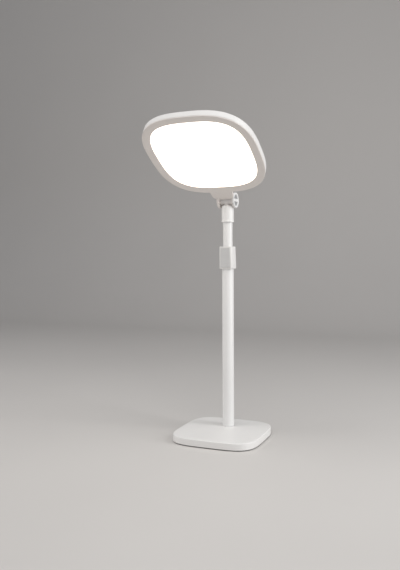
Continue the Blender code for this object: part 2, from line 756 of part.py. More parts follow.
for i in range(MEDIUM_SIDES + 1):
    bend = math.pi * 3 / 4 - (math.pi * 3 / 4 + LEVER_OPEN_ANGLE) * i / MEDIUM_SIDES
    lean = max(bend - math.pi / 4, 0)
    reach = cam_shift * math.cos(lean) + math.sqrt(LEVER_CAM_RADIUS**2 - (cam_shift * math.sin(lean)) ** 2)
    reach += LEVER_RELIEF
    cam_room.append((PIN_X + reach * math.cos(bend), PIN_Y + reach * math.sin(bend)))
cut(
    clamp_body,
    rod(
        "clamp_tube_seat",
        OUTER_TUBE_RADIUS + GAP,
        (0, 0, CLAMP_BOTTOM_Z - OVERRUN),
        CLAMP_SEAT_DEPTH + OVERRUN,
        sides=TUBE_SIDES,
        helper=True,
    ),
    rod(
        "clamp_bush_bore",
        BUSH_OUTER_RADIUS + GAP,
        (0, 0, CLAMP_SHOULDER_Z - OVERRUN),
        CLAMP_HEIGHT,
        sides=TUBE_SIDES,
        helper=True,
    ),
    flat(
        "clamp_lever_room",
        lever_room,
        LEVER_BOTTOM_Z - LEVER_RELIEF,
        lever_height + 2 * LEVER_RELIEF,
        helper=True,
    ),
    rod(
        "clamp_knuckle_room",
        LEVER_KNUCKLE_RADIUS + LEVER_RELIEF,
        (PIN_X, PIN_Y, LEVER_BOTTOM_Z - LEVER_RELIEF),
        lever_height + 2 * LEVER_RELIEF,
        sides=MEDIUM_SIDES,
        helper=True,
    ),
    flat(
        "clamp_cam_room",
        cam_room,
        cam_bottom - LEVER_RELIEF,
        cam_height + 2 * LEVER_RELIEF,
        helper=True,
    ),
    box(
        "clamp_return_room",
        (return_room_left, -CLAMP_HALF_WIDTH - OVERRUN, LEVER_BOTTOM_Z - LEVER_RELIEF),
        (
            LEVER_RIGHT_X + LEVER_RELIEF,
            LEVER_BACK_Y + LEVER_RETURN_DEPTH + LEVER_RELIEF,
            LEVER_TOP_Z + LEVER_RELIEF,
        ),
        helper=True,
    ),
    rod(
        "clamp_pin_hole",
        LEVER_PIN_RADIUS + GAP,
        (PIN_X, PIN_Y, CLAMP_BOTTOM_Z - OVERRUN),
        CLAMP_HEIGHT - LEVER_LIP / 2 + OVERRUN,
        helper=True,
    ),
    rod(
        "clamp_screw_hole",
        COLLAR_SCREW_RADIUS + GAP,
        (0, 0, CLAMP_BOTTOM_Z + COLLAR_SCREW_HEIGHT),
        CLAMP_HALF_WIDTH + OVERRUN,
        axis="Y",
        helper=True,
    ),
)
dress(clamp_body, WHITE, 0.4)

bush_height = CLAMP_TOP_Z - CLAMP_BUSH_TOP_INSET - BUSH_BOTTOM_Z
guide_bush = ring("guide_bush", BUSH_OUTER_RADIUS, BUSH_INNER_RADIUS, BUSH_BOTTOM_Z, bush_height)
cut(
    guide_bush,
    box(
        "bush_slit",
        (-CLAMP_BUSH_SLIT / 2, 0, BUSH_BOTTOM_Z - OVERRUN),
        (CLAMP_BUSH_SLIT / 2, CLAMP_HALF_WIDTH, CLAMP_TOP_Z + OVERRUN),
        helper=True,
    ),
)
dress(guide_bush, NATURAL, 0.5)

grub_start = OUTER_TUBE_RADIUS + GAP
grub_end = CLAMP_HALF_WIDTH - GAP
collar_screw = turned(
    "collar_screw",
    [
        (0, grub_end - COLLAR_SCREW_SOCKET_DEPTH),
        (COLLAR_SCREW_SOCKET_RADIUS, grub_end - COLLAR_SCREW_SOCKET_DEPTH),
        (COLLAR_SCREW_SOCKET_RADIUS, grub_end),
        (COLLAR_SCREW_RADIUS, grub_end),
        (COLLAR_SCREW_RADIUS, grub_start),
        (0, grub_start),
    ],
    axis="Y",
    place=(0, 0, CLAMP_BOTTOM_Z + COLLAR_SCREW_HEIGHT),
    sides=SMALL_SIDES,
)
dress(collar_screw, STEEL, 0.35, 1.0)

pin_bottom = CLAMP_BOTTOM_Z + CLAMP_EDGE
lever_pin = rod(
    "lever_pin",
    LEVER_PIN_RADIUS,
    (PIN_X, PIN_Y, pin_bottom),
    CLAMP_TOP_Z - LEVER_LIP / 2 - GAP - pin_bottom,
)
dress(lever_pin, STEEL, 0.3, 1.0)

# Clamp lever: a flush door with a round cam at its hinged edge that bears on the bush.
lever_pivot = pivot("lever_pivot", (PIN_X, PIN_Y, CLAMP_BOTTOM_Z))
lever_low = LEVER_BOTTOM_Z - CLAMP_BOTTOM_Z
diagonal = math.sqrt(0.5)
clamp_lever = box(
    "clamp_lever",
    (0, LEVER_FRONT_Y - PIN_Y, lever_low),
    (LEVER_RIGHT_X - PIN_X, LEVER_BACK_Y - PIN_Y, lever_low + lever_height),
    parent=lever_pivot,
)
knuckle = rod(
    "lever_knuckle",
    LEVER_KNUCKLE_RADIUS,
    (0, 0, lever_low),
    lever_height,
    sides=MEDIUM_SIDES,
    parent=lever_pivot,
    helper=True,
)
cam_offset = cam_shift * diagonal
cam = rod(
    "lever_cam",
    LEVER_CAM_RADIUS,
    (cam_offset, cam_offset, cam_bottom - CLAMP_BOTTOM_Z),
    cam_height,
    sides=MEDIUM_SIDES,
    parent=lever_pivot,
    helper=True,
)
neck = box(
    "lever_neck",
    (-LEVER_NECK_HALF_WIDTH, LEVER_FRONT_Y - PIN_Y, lever_low),
    (LEVER_NECK_HALF_WIDTH, 0, lever_low + lever_height),
    parent=lever_pivot,
    helper=True,
)
lip = box(
    "lever_return",
    (LEVER_RIGHT_X - PIN_X - LEVER_EDGE_RETURN, LEVER_FRONT_Y - PIN_Y, lever_low),
    (LEVER_RIGHT_X - PIN_X, LEVER_BACK_Y - PIN_Y + LEVER_RETURN_DEPTH, lever_low + lever_height),
    parent=lever_pivot,
    helper=True,
)
join(clamp_lever, knuckle, cam, neck, lip)
cut(
    clamp_lever,
    rod(
        "lever_bore",
        LEVER_PIN_RADIUS + GAP,
        (0, 0, lever_low - OVERRUN),
        lever_height + 2 * OVERRUN,
        parent=lever_pivot,
        helper=True,
    ),
)
dress(clamp_lever, WHITE, 0.4)

# Sliding tube: the thinner tube with a guide plug below and the swivel's threaded plug on top.
slide = pivot("slide_axis", (0, 0, 0))
inner_tube = ring(
    "inner_tube",
    INNER_TUBE_RADIUS,
    INNER_TUBE_BORE,
    INNER_TUBE_BOTTOM_Z,
    INNER_TUBE_TOP_Z - INNER_TUBE_BOTTOM_Z,
    parent=slide,
)
dress(inner_tube, WHITE, 0.36)
flange_top = INNER_TUBE_BOTTOM_Z - GAP
flange_bottom = flange_top - GUIDE_FLANGE
lower_guide = turned(
    "lower_guide",
    [
        (INNER_TUBE_BORE - GAP, flange_top + GUIDE_SPIGOT),
        (INNER_TUBE_BORE - GAP, flange_top),
        (OUTER_TUBE_BORE - GAP, flange_top),
        (OUTER_TUBE_BORE - GAP, flange_bottom + GUIDE_CHAMFER),
        (OUTER_TUBE_BORE - GAP - GUIDE_CHAMFER, flange_bottom),
        (GUIDE_BORE, flange_bottom),
        (GUIDE_BORE, flange_top + GUIDE_SPIGOT),
    ],
    parent=slide,
    ring=True,
)
dress(lower_guide, NATURAL, 0.5)
plug_top = INNER_TUBE_TOP_Z - GAP
swivel_plug = ring(
    "swivel_plug",
    INNER_TUBE_BORE - GAP,
    SWIVEL_BOLT_RADIUS + GAP,
    plug_top - SWIVEL_PLUG_HEIGHT,
    SWIVEL_PLUG_HEIGHT,
    parent=slide,
)
dress(swivel_plug, ZINC, 0.45, 1.0)
swivel_washer = ring(
    "swivel_washer",
    INNER_TUBE_RADIUS,
    SWIVEL_BOLT_RADIUS + GAP,
    SWIVEL_WASHER_Z,
    SWIVEL_WASHER_THICKNESS,
    parent=slide,
    sides=DISC_SIDES,
)
dress(swivel_washer, NATURAL, 0.5)
wave_washer = ring(
    "wave_washer",
    WAVE_WASHER_RADIUS,
    SWIVEL_BOLT_RADIUS + GAP,
    WAVE_WASHER_Z,
    WAVE_WASHER_THICKNESS,
    parent=slide,
    sides=MEDIUM_SIDES,
)
dress(wave_washer, STEEL, 0.3, 1.0)
swivel_head_top = SWIVEL_HEAD_Z + SWIVEL_BOLT_HEAD_HEIGHT
swivel_bolt = turned(
    "swivel_bolt",
    [
        (0, swivel_head_top - SWIVEL_BOLT_SOCKET_DEPTH),
        (SWIVEL_BOLT_SOCKET_RADIUS, swivel_head_top - SWIVEL_BOLT_SOCKET_DEPTH),
        (SWIVEL_BOLT_SOCKET_RADIUS, swivel_head_top),
        (SWIVEL_BOLT_HEAD_RADIUS, swivel_head_top),
        (SWIVEL_BOLT_HEAD_RADIUS, SWIVEL_HEAD_Z),
        (SWIVEL_BOLT_RADIUS, SWIVEL_HEAD_Z),
        (SWIVEL_BOLT_RADIUS, plug_top - SWIVEL_PLUG_HEIGHT),
        (0, plug_top - SWIVEL_PLUG_HEIGHT),
    ],
    parent=slide,
    sides=SMALL_SIDES,
)
dress(swivel_bolt, STEEL, 0.35, 1.0)

# Swivel: a ferrule with a rounded crown turns on the tube's end and holds the hinge barrel by its spigot.
swivel = pivot("swivel_axis", (0, 0, 0), parent=slide)
skirt = INNER_TUBE_RADIUS + GAP
well = SPIGOT_RADIUS + GAP
crown_bends = [math.pi / 2 * (1 - i / FILLET_STEPS) for i in range(FILLET_STEPS + 1)]
crown = [
    (
        FERRULE_RADIUS - FERRULE_CROWN * (1 - math.cos(bend)),
        FERRULE_TOP_Z - FERRULE_CROWN * (1 - math.sin(bend)),
    )
    for bend in crown_bends
]
ferrule = turned(
    "ferrule",
    [
        *crown,
        (FERRULE_RADIUS, FERRULE_BOTTOM_Z + FERRULE_RIM_HEIGHT + FERRULE_RIM),
        (FERRULE_RADIUS + FERRULE_RIM / 2, FERRULE_BOTTOM_Z + FERRULE_RIM_HEIGHT),
        (FERRULE_RADIUS + FERRULE_RIM / 2, FERRULE_BOTTOM_Z + FERRULE_RIM),
        (FERRULE_RADIUS - FERRULE_RIM / 2, FERRULE_BOTTOM_Z),
        (skirt, FERRULE_BOTTOM_Z),
        (skirt, FERRULE_FLOOR_Z),
        (SWIVEL_BOLT_RADIUS + GAP, FERRULE_FLOOR_Z),
        (SWIVEL_BOLT_RADIUS + GAP, FERRULE_FLOOR_TOP_Z),
        (well, FERRULE_FLOOR_TOP_Z),
        (well, FERRULE_TOP_Z),
    ],
    parent=swivel,
    ring=True,
)
screw_z = FERRULE_TOP_Z - BARREL_SCREW_DROP
cut(
    ferrule,
    rod(
        "ferrule_screw_hole",
        BARREL_SCREW_RADIUS + GAP,
        (0, 0, screw_z),
        FERRULE_RADIUS + OVERRUN,
        axis="Y",
        parent=swivel,
        helper=True,
    ),
)
dress(ferrule, WHITE, 0.34)

hinge_barrel = turned(
    "hinge_barrel",
    [
        (0, BARREL_HALF_LENGTH - FRICTION_WASHER_THICKNESS - GAP),
        (FRICTION_WASHER_RADIUS + GAP, BARREL_HALF_LENGTH - FRICTION_WASHER_THICKNESS - GAP),
        (FRICTION_WASHER_RADIUS + GAP, BARREL_HALF_LENGTH),
        (BARREL_RADIUS, BARREL_HALF_LENGTH),
        (BARREL_RADIUS, -BARREL_HALF_LENGTH),
        (FRICTION_WASHER_RADIUS + GAP, -BARREL_HALF_LENGTH),
        (FRICTION_WASHER_RADIUS + GAP, -BARREL_HALF_LENGTH + FRICTION_WASHER_THICKNESS + GAP),
        (0, -BARREL_HALF_LENGTH + FRICTION_WASHER_THICKNESS + GAP),
    ],
    axis="X",
    place=(0, 0, HINGE_Z),
    parent=swivel,
    sides=DISC_SIDES,
)
join(
    hinge_barrel,
    rod(
        "barrel_spigot",
        SPIGOT_RADIUS,
        (0, 0, SPIGOT_BOTTOM_Z),
        HINGE_Z - SPIGOT_BOTTOM_Z,
        sides=DISC_SIDES,
        parent=swivel,
        helper=True,
    ),
)
cut(
    hinge_barrel,
    rod(
        "barrel_bore",
        STUD_RADIUS + GAP,
        (-EAR_OUTER_X, 0, HINGE_Z),
        2 * EAR_OUTER_X,
        axis="X",
        parent=swivel,
        helper=True,
    ),
    rod(
        "barrel_screw_seat",
        BARREL_SCREW_RADIUS + GAP,
        (0, FERRULE_RADIUS - BARREL_SCREW_LENGTH - 2 * GAP, screw_z),
        FERRULE_RADIUS,
        axis="Y",
        parent=swivel,
        helper=True,
    ),
)
dress(hinge_barrel, WARM_WHITE, 0.4)
barrel_screw_end = FERRULE_RADIUS - GAP
barrel_screw = turned(
    "barrel_screw",
    [
        (0, barrel_screw_end - BARREL_SCREW_SOCKET_DEPTH),
        (BARREL_SCREW_SOCKET_RADIUS, barrel_screw_end - BARREL_SCREW_SOCKET_DEPTH),
        (BARREL_SCREW_SOCKET_RADIUS, barrel_screw_end),
        (BARREL_SCREW_RADIUS, barrel_screw_end),
        (BARREL_SCREW_RADIUS, barrel_screw_end - BARREL_SCREW_LENGTH),
        (0, barrel_screw_end - BARREL_SCREW_LENGTH),
    ],
    axis="Y",
    place=(0, 0, screw_z),
    parent=swivel,
    sides=SMALL_SIDES,
)
dress(barrel_screw, STEEL, 0.35, 1.0)

# Head frame: the sloping front ring, the tongue and the two hinge ears in one moulding.
head = pivot("head_axis", (0, 0, HINGE_Z), HEAD_TILT, swivel)
frame_rings = [
    head_ring(0, SEAM_Y),
    *(
        head_ring(FRAME_EDGE * (1 - math.cos(bend)), FACE_Y + FRAME_EDGE * (1 - math.sin(bend)))
        for bend in reversed(crown_bends)
    ),
    head_ring(FRAME_EDGE + FRAME_LAND, FACE_Y),
    head_ring(FRAME_WIDTH, LIP_FRONT_Y),
    head_ring(FRAME_WIDTH, LIP_BACK_Y),
    head_ring(RIB_INNER_INSET, LIP_BACK_Y),
    head_ring(RIB_INNER_INSET, SEAM_Y + FRAME_RIB_DEPTH),
    head_ring(RIB_OUTER_INSET, SEAM_Y + FRAME_RIB_DEPTH),
    head_ring(RIB_OUTER_INSET, SEAM_Y),
]
front_frame = loft("front_frame", frame_rings, parent=head, closed=True)


def tongue_outline():
    """The tongue from its root inside the frame to its tip by the barrel, with a round corner each side."""
    root_up = HEAD_BOTTOM_UP + RIB_INNER_INSET
    points = [(TONGUE_ROOT_RIGHT, root_up), (-TONGUE_ROOT_LEFT, root_up), (-TONGUE_ROOT_LEFT, HEAD_BOTTOM_UP)]
    sides = (
        (-1, TONGUE_SIDE_LEFT, TONGUE_CORNER_LEFT, TONGUE_CORNER_RISE_LEFT),
        (1, TONGUE_SIDE_RIGHT, TONGUE_CORNER_RIGHT, TONGUE_CORNER_RIGHT),
    )
    for side, edge, corner, rise in sides:
        turns = range(TONGUE_CORNER_STEPS + 1)
        for i in turns if side < 0 else reversed(turns):
            bend = math.pi / 2 * i / TONGUE_CORNER_STEPS
            across = edge - corner * (1 - math.cos(bend))
            points.append((side * across, TONGUE_TIP + rise * (1 - math.sin(bend))))
    points.append((TONGUE_ROOT_RIGHT, HEAD_BOTTOM_UP))
    return points


tongue = flat(
    "frame_tongue",
    tongue_outline(),
    FACE_Y + TONGUE_STEP,
    TONGUE_THICKNESS - TONGUE_STEP,
    axis="Y",
    parent=head,
    helper=True,
)
join(front_frame, tongue)
barrel_room_end = EAR_INNER_X + EAR_THICKNESS / 3
cap_room = EAR_SEAT_RADIUS + EAR_RIM / 2
knob_room_x = EAR_INNER_X + KNOB_WEB / 2
cap_room_x = CAP_SEAT_X - CAP_SEAT_DEPTH / 2
rooms = (
    ("barrel", BARREL_RADIUS + RUNNING_GAP, -barrel_room_end, 2 * barrel_room_end),
    ("knob", KNOB_RADIUS + RUNNING_GAP, knob_room_x, EAR_OUTER_X),
    ("cap", cap_room, -cap_room_x - EAR_OUTER_X, EAR_OUTER_X),
)
for label, radius, start, length in rooms:
    cutter = rod(
        f"frame_{label}_room",
        radius,
        (start, 0, 0),
        length,
        axis="X",
        sides=DISC_SIDES,
        parent=head,
        helper=True,
    )
    cut(front_frame, cutter)
right_ear = [
    (0, KNOB_WEB),
    (DISC_RADIUS, KNOB_WEB),
    (DISC_RADIUS, 0),
    (0, 0),
]
left_ear = [
    (0, EAR_THICKNESS),
    (DISC_RADIUS, EAR_THICKNESS),
    (DISC_RADIUS, DISC_EDGE),
    (DISC_RADIUS - DISC_EDGE, 0),
    (EAR_SEAT_RADIUS, 0),
    (EAR_SEAT_RADIUS, CAP_SEAT_DEPTH),
    (0, CAP_SEAT_DEPTH),
]
for label, profile, start in (("left", left_ear, -EAR_OUTER_X), ("right", right_ear, EAR_INNER_X)):
    ear = turned(
        f"frame_ear_{label}",
        profile,
        axis="X",
        place=(start, 0, 0),
        parent=head,
        sides=DISC_SIDES,
        helper=True,
    )
    join(front_frame, ear)
cut(
    front_frame,
    rod(
        "frame_stud_bore",
        STUD_RADIUS + GAP,
        (-EAR_OUTER_X - OVERRUN, 0, 0),
        2 * (EAR_OUTER_X + OVERRUN),
        axis="X",
        parent=head,
        helper=True,
    ),
    rod(
        "frame_nut_seat",
        NUT_ACROSS_CORNERS_RADIUS + GAP,
        (-EAR_OUTER_X, 0, 0),
        EAR_THICKNESS - NUT_WEB,
        axis="X",
        sides=6,
        parent=head,
        helper=True,
    ),
)
post_angle_index = OUTLINE_POINTS // 8
post_outline = squircle(HEAD_HALF, HEAD_EXPONENT, POST_INSET)
post_places = [post_outline[post_angle_index - 1 + quarter * OUTLINE_POINTS // 4] for quarter in range(4)]
post_end = HOUSING_FLOOR_Y - GAP
for number, (x, z) in enumerate(post_places, 1):
    place_up = z + HEAD_CENTRE_UP
    join(
        front_frame,
        rod(
            f"frame_post_{number}",
            POST_RADIUS,
            (x, LIP_BACK_Y - FRAME_LIP / 2, place_up),
            post_end - LIP_BACK_Y + FRAME_LIP / 2,
            axis="Y",
            parent=head,
            helper=True,
        ),
    )
    cut(
        front_frame,
        rod(
            f"frame_pilot_{number}",
            HEAD_SCREW_RADIUS + GAP,
            (x, LIP_BACK_Y, place_up),
            post_end - LIP_BACK_Y + OVERRUN,
            axis="Y",
            parent=head,
            helper=True,
        ),
    )
dress(front_frame, WARM_WHITE, 0.45)

# Rear housing: a shallow pan that closes the head, notched for the tongue, with posts for the pod.
housing_rings = [
    head_ring(HOUSING_WALL + HOUSING_INNER_CHAMFER, HOUSING_FLOOR_Y),
    head_ring(HOUSING_WALL, HOUSING_FLOOR_Y - HOUSING_INNER_CHAMFER),
    head_ring(HOUSING_WALL, SEAM_Y + GAP),
    head_ring(0, SEAM_Y + GAP),
]
for i in range(FILLET_STEPS + 1):
    bend = math.pi / 2 * i / FILLET_STEPS
    drop = HOUSING_FILLET * (1 - math.sin(bend))
    housing_rings.append(head_ring(HOUSING_FILLET * (1 - math.cos(bend)), BACK_Y - drop))
rear_housing = loft("rear_housing", housing_rings, parent=head)
cut(
    rear_housing,
    box(
        "housing_tongue_notch",
        (
            -TONGUE_ROOT_LEFT - GAP,
            SEAM_Y - OVERRUN,
            HEAD_BOTTOM_UP - OVERRUN,
        ),
        (
            TONGUE_ROOT_RIGHT + GAP,
            FACE_Y + TONGUE_THICKNESS + GAP,
            HEAD_BOTTOM_UP + HOUSING_WALL + OVERRUN,
        ),
        parent=head,
        helper=True,
    ),
)
pod_posts = [(-POD_POST_X, POD_CENTRE_UP + POD_POST_UP), (POD_POST_X, POD_CENTRE_UP - POD_POST_UP)]
for number, (x, z) in enumerate(pod_posts, 1):
    join(
        rear_housing,
        rod(
            f"housing_pod_post_{number}",
            POD_POST_RADIUS,
            (x, BACK_Y - HOUSING_FLOOR / 2, z),
            POD_POST_END_Y - BACK_Y + HOUSING_FLOOR / 2,
            axis="Y",
            parent=head,
            helper=True,
        ),
    )
    cut(
        rear_housing,
        rod(
            f"housing_pod_pilot_{number}",
            HEAD_SCREW_RADIUS + GAP,
            (x, BACK_Y, z),
            POD_DEPTH,
            axis="Y",
            parent=head,
            helper=True,
        ),
    )


def countersink(name, x, z, back):
    """The hole that a flat-headed screw leaves in a wall whose back face is at the given depth."""
    head_inner = back - HEAD_SCREW_HEAD_DEPTH - GAP
    return turned(
        name,
        [
            (0, back + OVERRUN),
            (HEAD_SCREW_HEAD_RADIUS + GAP, back + OVERRUN),
            (HEAD_SCREW_HEAD_RADIUS + GAP, back - GAP),
            (HEAD_SCREW_RADIUS + GAP, head_inner),
            (HEAD_SCREW_RADIUS + GAP, back - HOUSING_FLOOR - OVERRUN),
            (0, back - HOUSING_FLOOR - OVERRUN),
        ],
        axis="Y",
        place=(x, 0, z),
        parent=head,
        sides=SMALL_SIDES,
        helper=True,
    )


def small_screw(name, x, z, back):
    """A flat-headed screw whose head lies just inside the given back face."""
    top = back - GAP
    screw = turned(
        name,
        [
            (0, top - SCREW_SLOT_DEPTH),
            (SCREW_SLOT_WIDTH, top - SCREW_SLOT_DEPTH),
            (SCREW_SLOT_WIDTH, top),
            (HEAD_SCREW_HEAD_RADIUS, top),
            (HEAD_SCREW_RADIUS, top - HEAD_SCREW_HEAD_DEPTH),
            (HEAD_SCREW_RADIUS, top - HEAD_SCREW_LENGTH),
            (0, top - HEAD_SCREW_LENGTH),
        ],
        axis="Y",
        place=(x, 0, z),
        parent=head,
        sides=SMALL_SIDES,
    )
    return dress(screw, STEEL, 0.3, 1.0)


for number, (x, z) in enumerate(post_places, 1):
    cut(rear_housing, countersink(f"housing_sink_{number}", x, z + HEAD_CENTRE_UP, BACK_Y))
    small_screw(f"head_screw_{number}", x, z + HEAD_CENTRE_UP, BACK_Y)
flex_up = FLEX_CENTRE_UP
for side, label in ((-1, "left"), (1, "right")):
    middle = side * (FLEX_INNER_X + FLEX_THICKNESS / 2)
    half_slot = FLEX_THICKNESS / 2 + 2 * GAP
    cut(
        rear_housing,
        box(
            f"housing_flex_slot_{label}",
            (middle - half_slot, HOUSING_FLOOR_Y - OVERRUN, flex_up - FLEX_WIDTH / 2 - GAP),
            (middle + half_slot, BACK_Y + OVERRUN, flex_up + FLEX_WIDTH / 2 + GAP),
            parent=head,
            helper=True,
        ),
    )
dress(rear_housing, WHITE, 0.42)

# Light engine: opal diffuser, edge-lit guide, reflector, backing plate and two strips of emitters.
diffuser = loft(
    "diffuser",
    [head_ring(DIFFUSER_INSET, DIFFUSER_Y), head_ring(DIFFUSER_INSET, DIFFUSER_Y + DIFFUSER_THICKNESS)],
    parent=head,
)
dress(diffuser, LENS_WHITE, 0.5)
guide_inset = DIFFUSER_INSET + GUIDE_INSET


def side_trim(name, low_y, high_y):
    """Blocks that trim a panel straight where a strip of emitters stands beside it."""
    trims = []
    for side, label in ((-1, "left"), (1, "right")):
        near, far = GUIDE_FLAT_HALF_WIDTH, HEAD_HALF
        low_x, high_x = (near, far) if side > 0 else (-far, -near)
        trims.append(
            box(
                f"{name}_{label}",
                (low_x, low_y - OVERRUN, HEAD_CENTRE_UP - HEAD_HALF),
                (high_x, high_y + OVERRUN, HEAD_CENTRE_UP + HEAD_HALF),
                parent=head,
                helper=True,
            )
        )
    return trims


light_guide = loft(
    "light_guide",
    [head_ring(guide_inset, GUIDE_Y), head_ring(guide_inset, GUIDE_Y + GUIDE_THICKNESS)],
    parent=head,
)
cut(light_guide, *side_trim("guide_trim", GUIDE_Y, GUIDE_Y + GUIDE_THICKNESS))
dress(light_guide, LENS_WHITE, 0.1)
reflector_sheet = loft(
    "reflector_sheet",
    [head_ring(guide_inset, REFLECTOR_Y), head_ring(guide_inset, REFLECTOR_Y + REFLECTOR_THICKNESS)],
    parent=head,
)
cut(reflector_sheet, *side_trim("reflector_trim", REFLECTOR_Y, REFLECTOR_Y + REFLECTOR_THICKNESS))
dress(reflector_sheet, BRIGHT_WHITE, 0.2)
back_plate = loft(
    "back_plate",
    [head_ring(DIFFUSER_INSET, BACK_PLATE_Y), head_ring(DIFFUSER_INSET, BACK_PLATE_END_Y)],
    parent=head,
)
rib_room = HOUSING_FLOOR_Y - BACK_PLATE_END_Y - GAP
for number, rib_up in enumerate((flex_up - RIB_BELOW_FLEX, HEAD_CENTRE_UP + HEAD_HALF / 2), 1):
    rib = box(
        f"housing_rib_{number}",
        (-HEAD_HALF / 2, HOUSING_FLOOR_Y - rib_room, rib_up - BACK_PLATE_RIB_WIDTH / 2),
        (HEAD_HALF / 2, BACK_Y - HOUSING_FLOOR / 2, rib_up + BACK_PLATE_RIB_WIDTH / 2),
        parent=head,
        helper=True,
    )
    join(rear_housing, rib)
strip_low = HEAD_CENTRE_UP - STRIP_LENGTH / 2
strip_start_x = GUIDE_FLAT_HALF_WIDTH + GAP
strip_end_y = BACK_PLATE_Y - GAP
for side, label in ((-1, "left"), (1, "right")):
    inner = strip_start_x + STRIP_LED_HEIGHT
    outer = inner + STRIP_BOARD
    low_x, high_x = (inner, outer) if side > 0 else (-outer, -inner)
    strip = box(
        f"led_strip_{label}",
        (low_x, GUIDE_Y, strip_low),
        (high_x, strip_end_y, strip_low + STRIP_LENGTH),
        parent=head,
    )
    pitch = STRIP_LENGTH / STRIP_LED_COUNT
    for index in range(STRIP_LED_COUNT):
        middle = strip_low + pitch * (index + 0.5)
        depth_middle = GUIDE_Y + GUIDE_THICKNESS / 2
        near, far = strip_start_x, inner + STRIP_BOARD / 2
        led_low, led_high = (near, far) if side > 0 else (-far, -near)
        led = box(
            f"led_{label}_{index + 1}",
            (led_low, depth_middle - STRIP_LED_DEPTH / 2, middle - STRIP_LED_LENGTH / 2),
            (led_high, depth_middle + STRIP_LED_DEPTH / 2, middle + STRIP_LED_LENGTH / 2),
            parent=head,
            helper=True,
        )
        join(strip, led)
    dress(strip, LENS_WHITE, 0.5)
    flex_y = BACK_PLATE_END_Y + GAP
    leg_inner, leg_outer = FLEX_INNER_X, FLEX_INNER_X + FLEX_THICKNESS
    reach_end = outer
    low_x, high_x = (leg_inner, reach_end) if side > 0 else (-reach_end, -leg_inner)
    flex = box(
        f"flex_lead_{label}",
        (low_x, flex_y, flex_up - FLEX_WIDTH / 2),
        (high_x, flex_y + FLEX_THICKNESS, flex_up + FLEX_WIDTH / 2),
        parent=head,
    )
    low_x, high_x = (leg_inner, leg_outer) if side > 0 else (-leg_outer, -leg_inner)
    leg = box(
        f"flex_leg_{label}",
        (low_x, flex_y, flex_up - FLEX_WIDTH / 2),
        (high_x, BOARD_Y - GAP, flex_up + FLEX_WIDTH / 2),
        parent=head,
        helper=True,
    )
    tab_start = reach_end - FLEX_LANDING / 2
    low_x, high_x = (tab_start, reach_end) if side > 0 else (-reach_end, -tab_start)
    tab = box(
        f"flex_tab_{label}",
        (low_x, strip_end_y + GAP, flex_up - FLEX_WIDTH / 2),
        (high_x, flex_y + FLEX_THICKNESS, flex_up + FLEX_WIDTH / 2),
        parent=head,
        helper=True,
    )
    join(flex, leg, tab)
    dress(flex, AMBER, 0.4)
    low_x, high_x = (low_x - GAP, HEAD_HALF) if side > 0 else (-HEAD_HALF, high_x + GAP)
    cut(
        back_plate,
        box(
            f"plate_notch_{label}",
            (low_x, BACK_PLATE_Y - OVERRUN, flex_up - FLEX_WIDTH / 2 - GAP),
            (high_x, BACK_PLATE_END_Y + OVERRUN, flex_up + FLEX_WIDTH / 2 + GAP),
            parent=head,
            helper=True,
        ),
    )
dress(back_plate, ZINC, 0.4, 1.0)

# Hinge hardware: a stud through both ears and the barrel, drawn up by the grip disc on the right.
for side, label in ((-1, "left"), (1, "right")):
    start = BARREL_HALF_LENGTH - FRICTION_WASHER_THICKNESS
    low_x = start if side > 0 else -BARREL_HALF_LENGTH
    washer = ring(
        f"friction_washer_{label}",
        FRICTION_WASHER_RADIUS,
        STUD_RADIUS + GAP,
        0,
        FRICTION_WASHER_THICKNESS,
        axis="X",
        place=(low_x, 0, 0),
        parent=head,
        sides=MEDIUM_SIDES,
    )
    dress(washer, NATURAL, 0.5)
hinge_nut = rod(
    "hinge_nut",
    NUT_ACROSS_CORNERS_RADIUS,
    (-NUT_INNER_X - NUT_THICKNESS, 0, 0),
    NUT_THICKNESS,
    axis="X",
    sides=6,
    parent=head,
)
cut(
    hinge_nut,
    rod(
        "nut_bore",
        STUD_RADIUS + GAP,
        (-EAR_OUTER_X, 0, 0),
        EAR_OUTER_X,
        axis="X",
        parent=head,
        helper=True,
    ),
)
dress(hinge_nut, ZINC, 0.35, 1.0)
cap_radius = EAR_SEAT_RADIUS - GAP
nut_cap = turned(
    "nut_cap",
    [
        (0, CAP_THICKNESS),
        (cap_radius, CAP_THICKNESS),
        (cap_radius, DISC_EDGE),
        (cap_radius - DISC_EDGE, 0),
        (0, 0),
    ],
    axis="X",
    place=(-EAR_OUTER_X, 0, 0),
    parent=head,
    sides=DISC_SIDES,
)
dress(nut_cap, WARM_WHITE, 0.4)

# Tension knob: a grip disc against the right ear, with two finger pockets either side of a level bar.
knob_axis = pivot("knob_axis", (0, 0, 0), -HEAD_TILT, head)
pocket_floor = KNOB_THICKNESS - KNOB_POCKET_DEPTH
tension_knob = turned(
    "tension_knob",
    [
        (0, pocket_floor),
        (KNOB_RADIUS - KNOB_RIM, pocket_floor),
        (KNOB_RADIUS - KNOB_RIM, KNOB_THICKNESS),
        (KNOB_RADIUS - DISC_EDGE, KNOB_THICKNESS),
        (KNOB_RADIUS, KNOB_THICKNESS - DISC_EDGE),
        (KNOB_RADIUS, 0),
        (STUD_RADIUS + GAP, 0),
        (STUD_RADIUS + GAP, STUD_SINK + GAP),
        (0, STUD_SINK + GAP),
    ],
    axis="X",
    place=(KNOB_INNER_X, 0, 0),
    parent=knob_axis,
    sides=DISC_SIDES,
)
grip_reach = KNOB_RADIUS - KNOB_RIM / 2
join(
    tension_knob,
    box(
        "knob_bar",
        (KNOB_INNER_X + pocket_floor - DISC_EDGE / 2, -grip_reach, -KNOB_BAR_HALF_WIDTH),
        (KNOB_INNER_X + KNOB_THICKNESS - KNOB_BAR_SINK, grip_reach, KNOB_BAR_HALF_WIDTH),
        parent=knob_axis,
        helper=True,
    ),
)
dress(tension_knob, WHITE, 0.35)
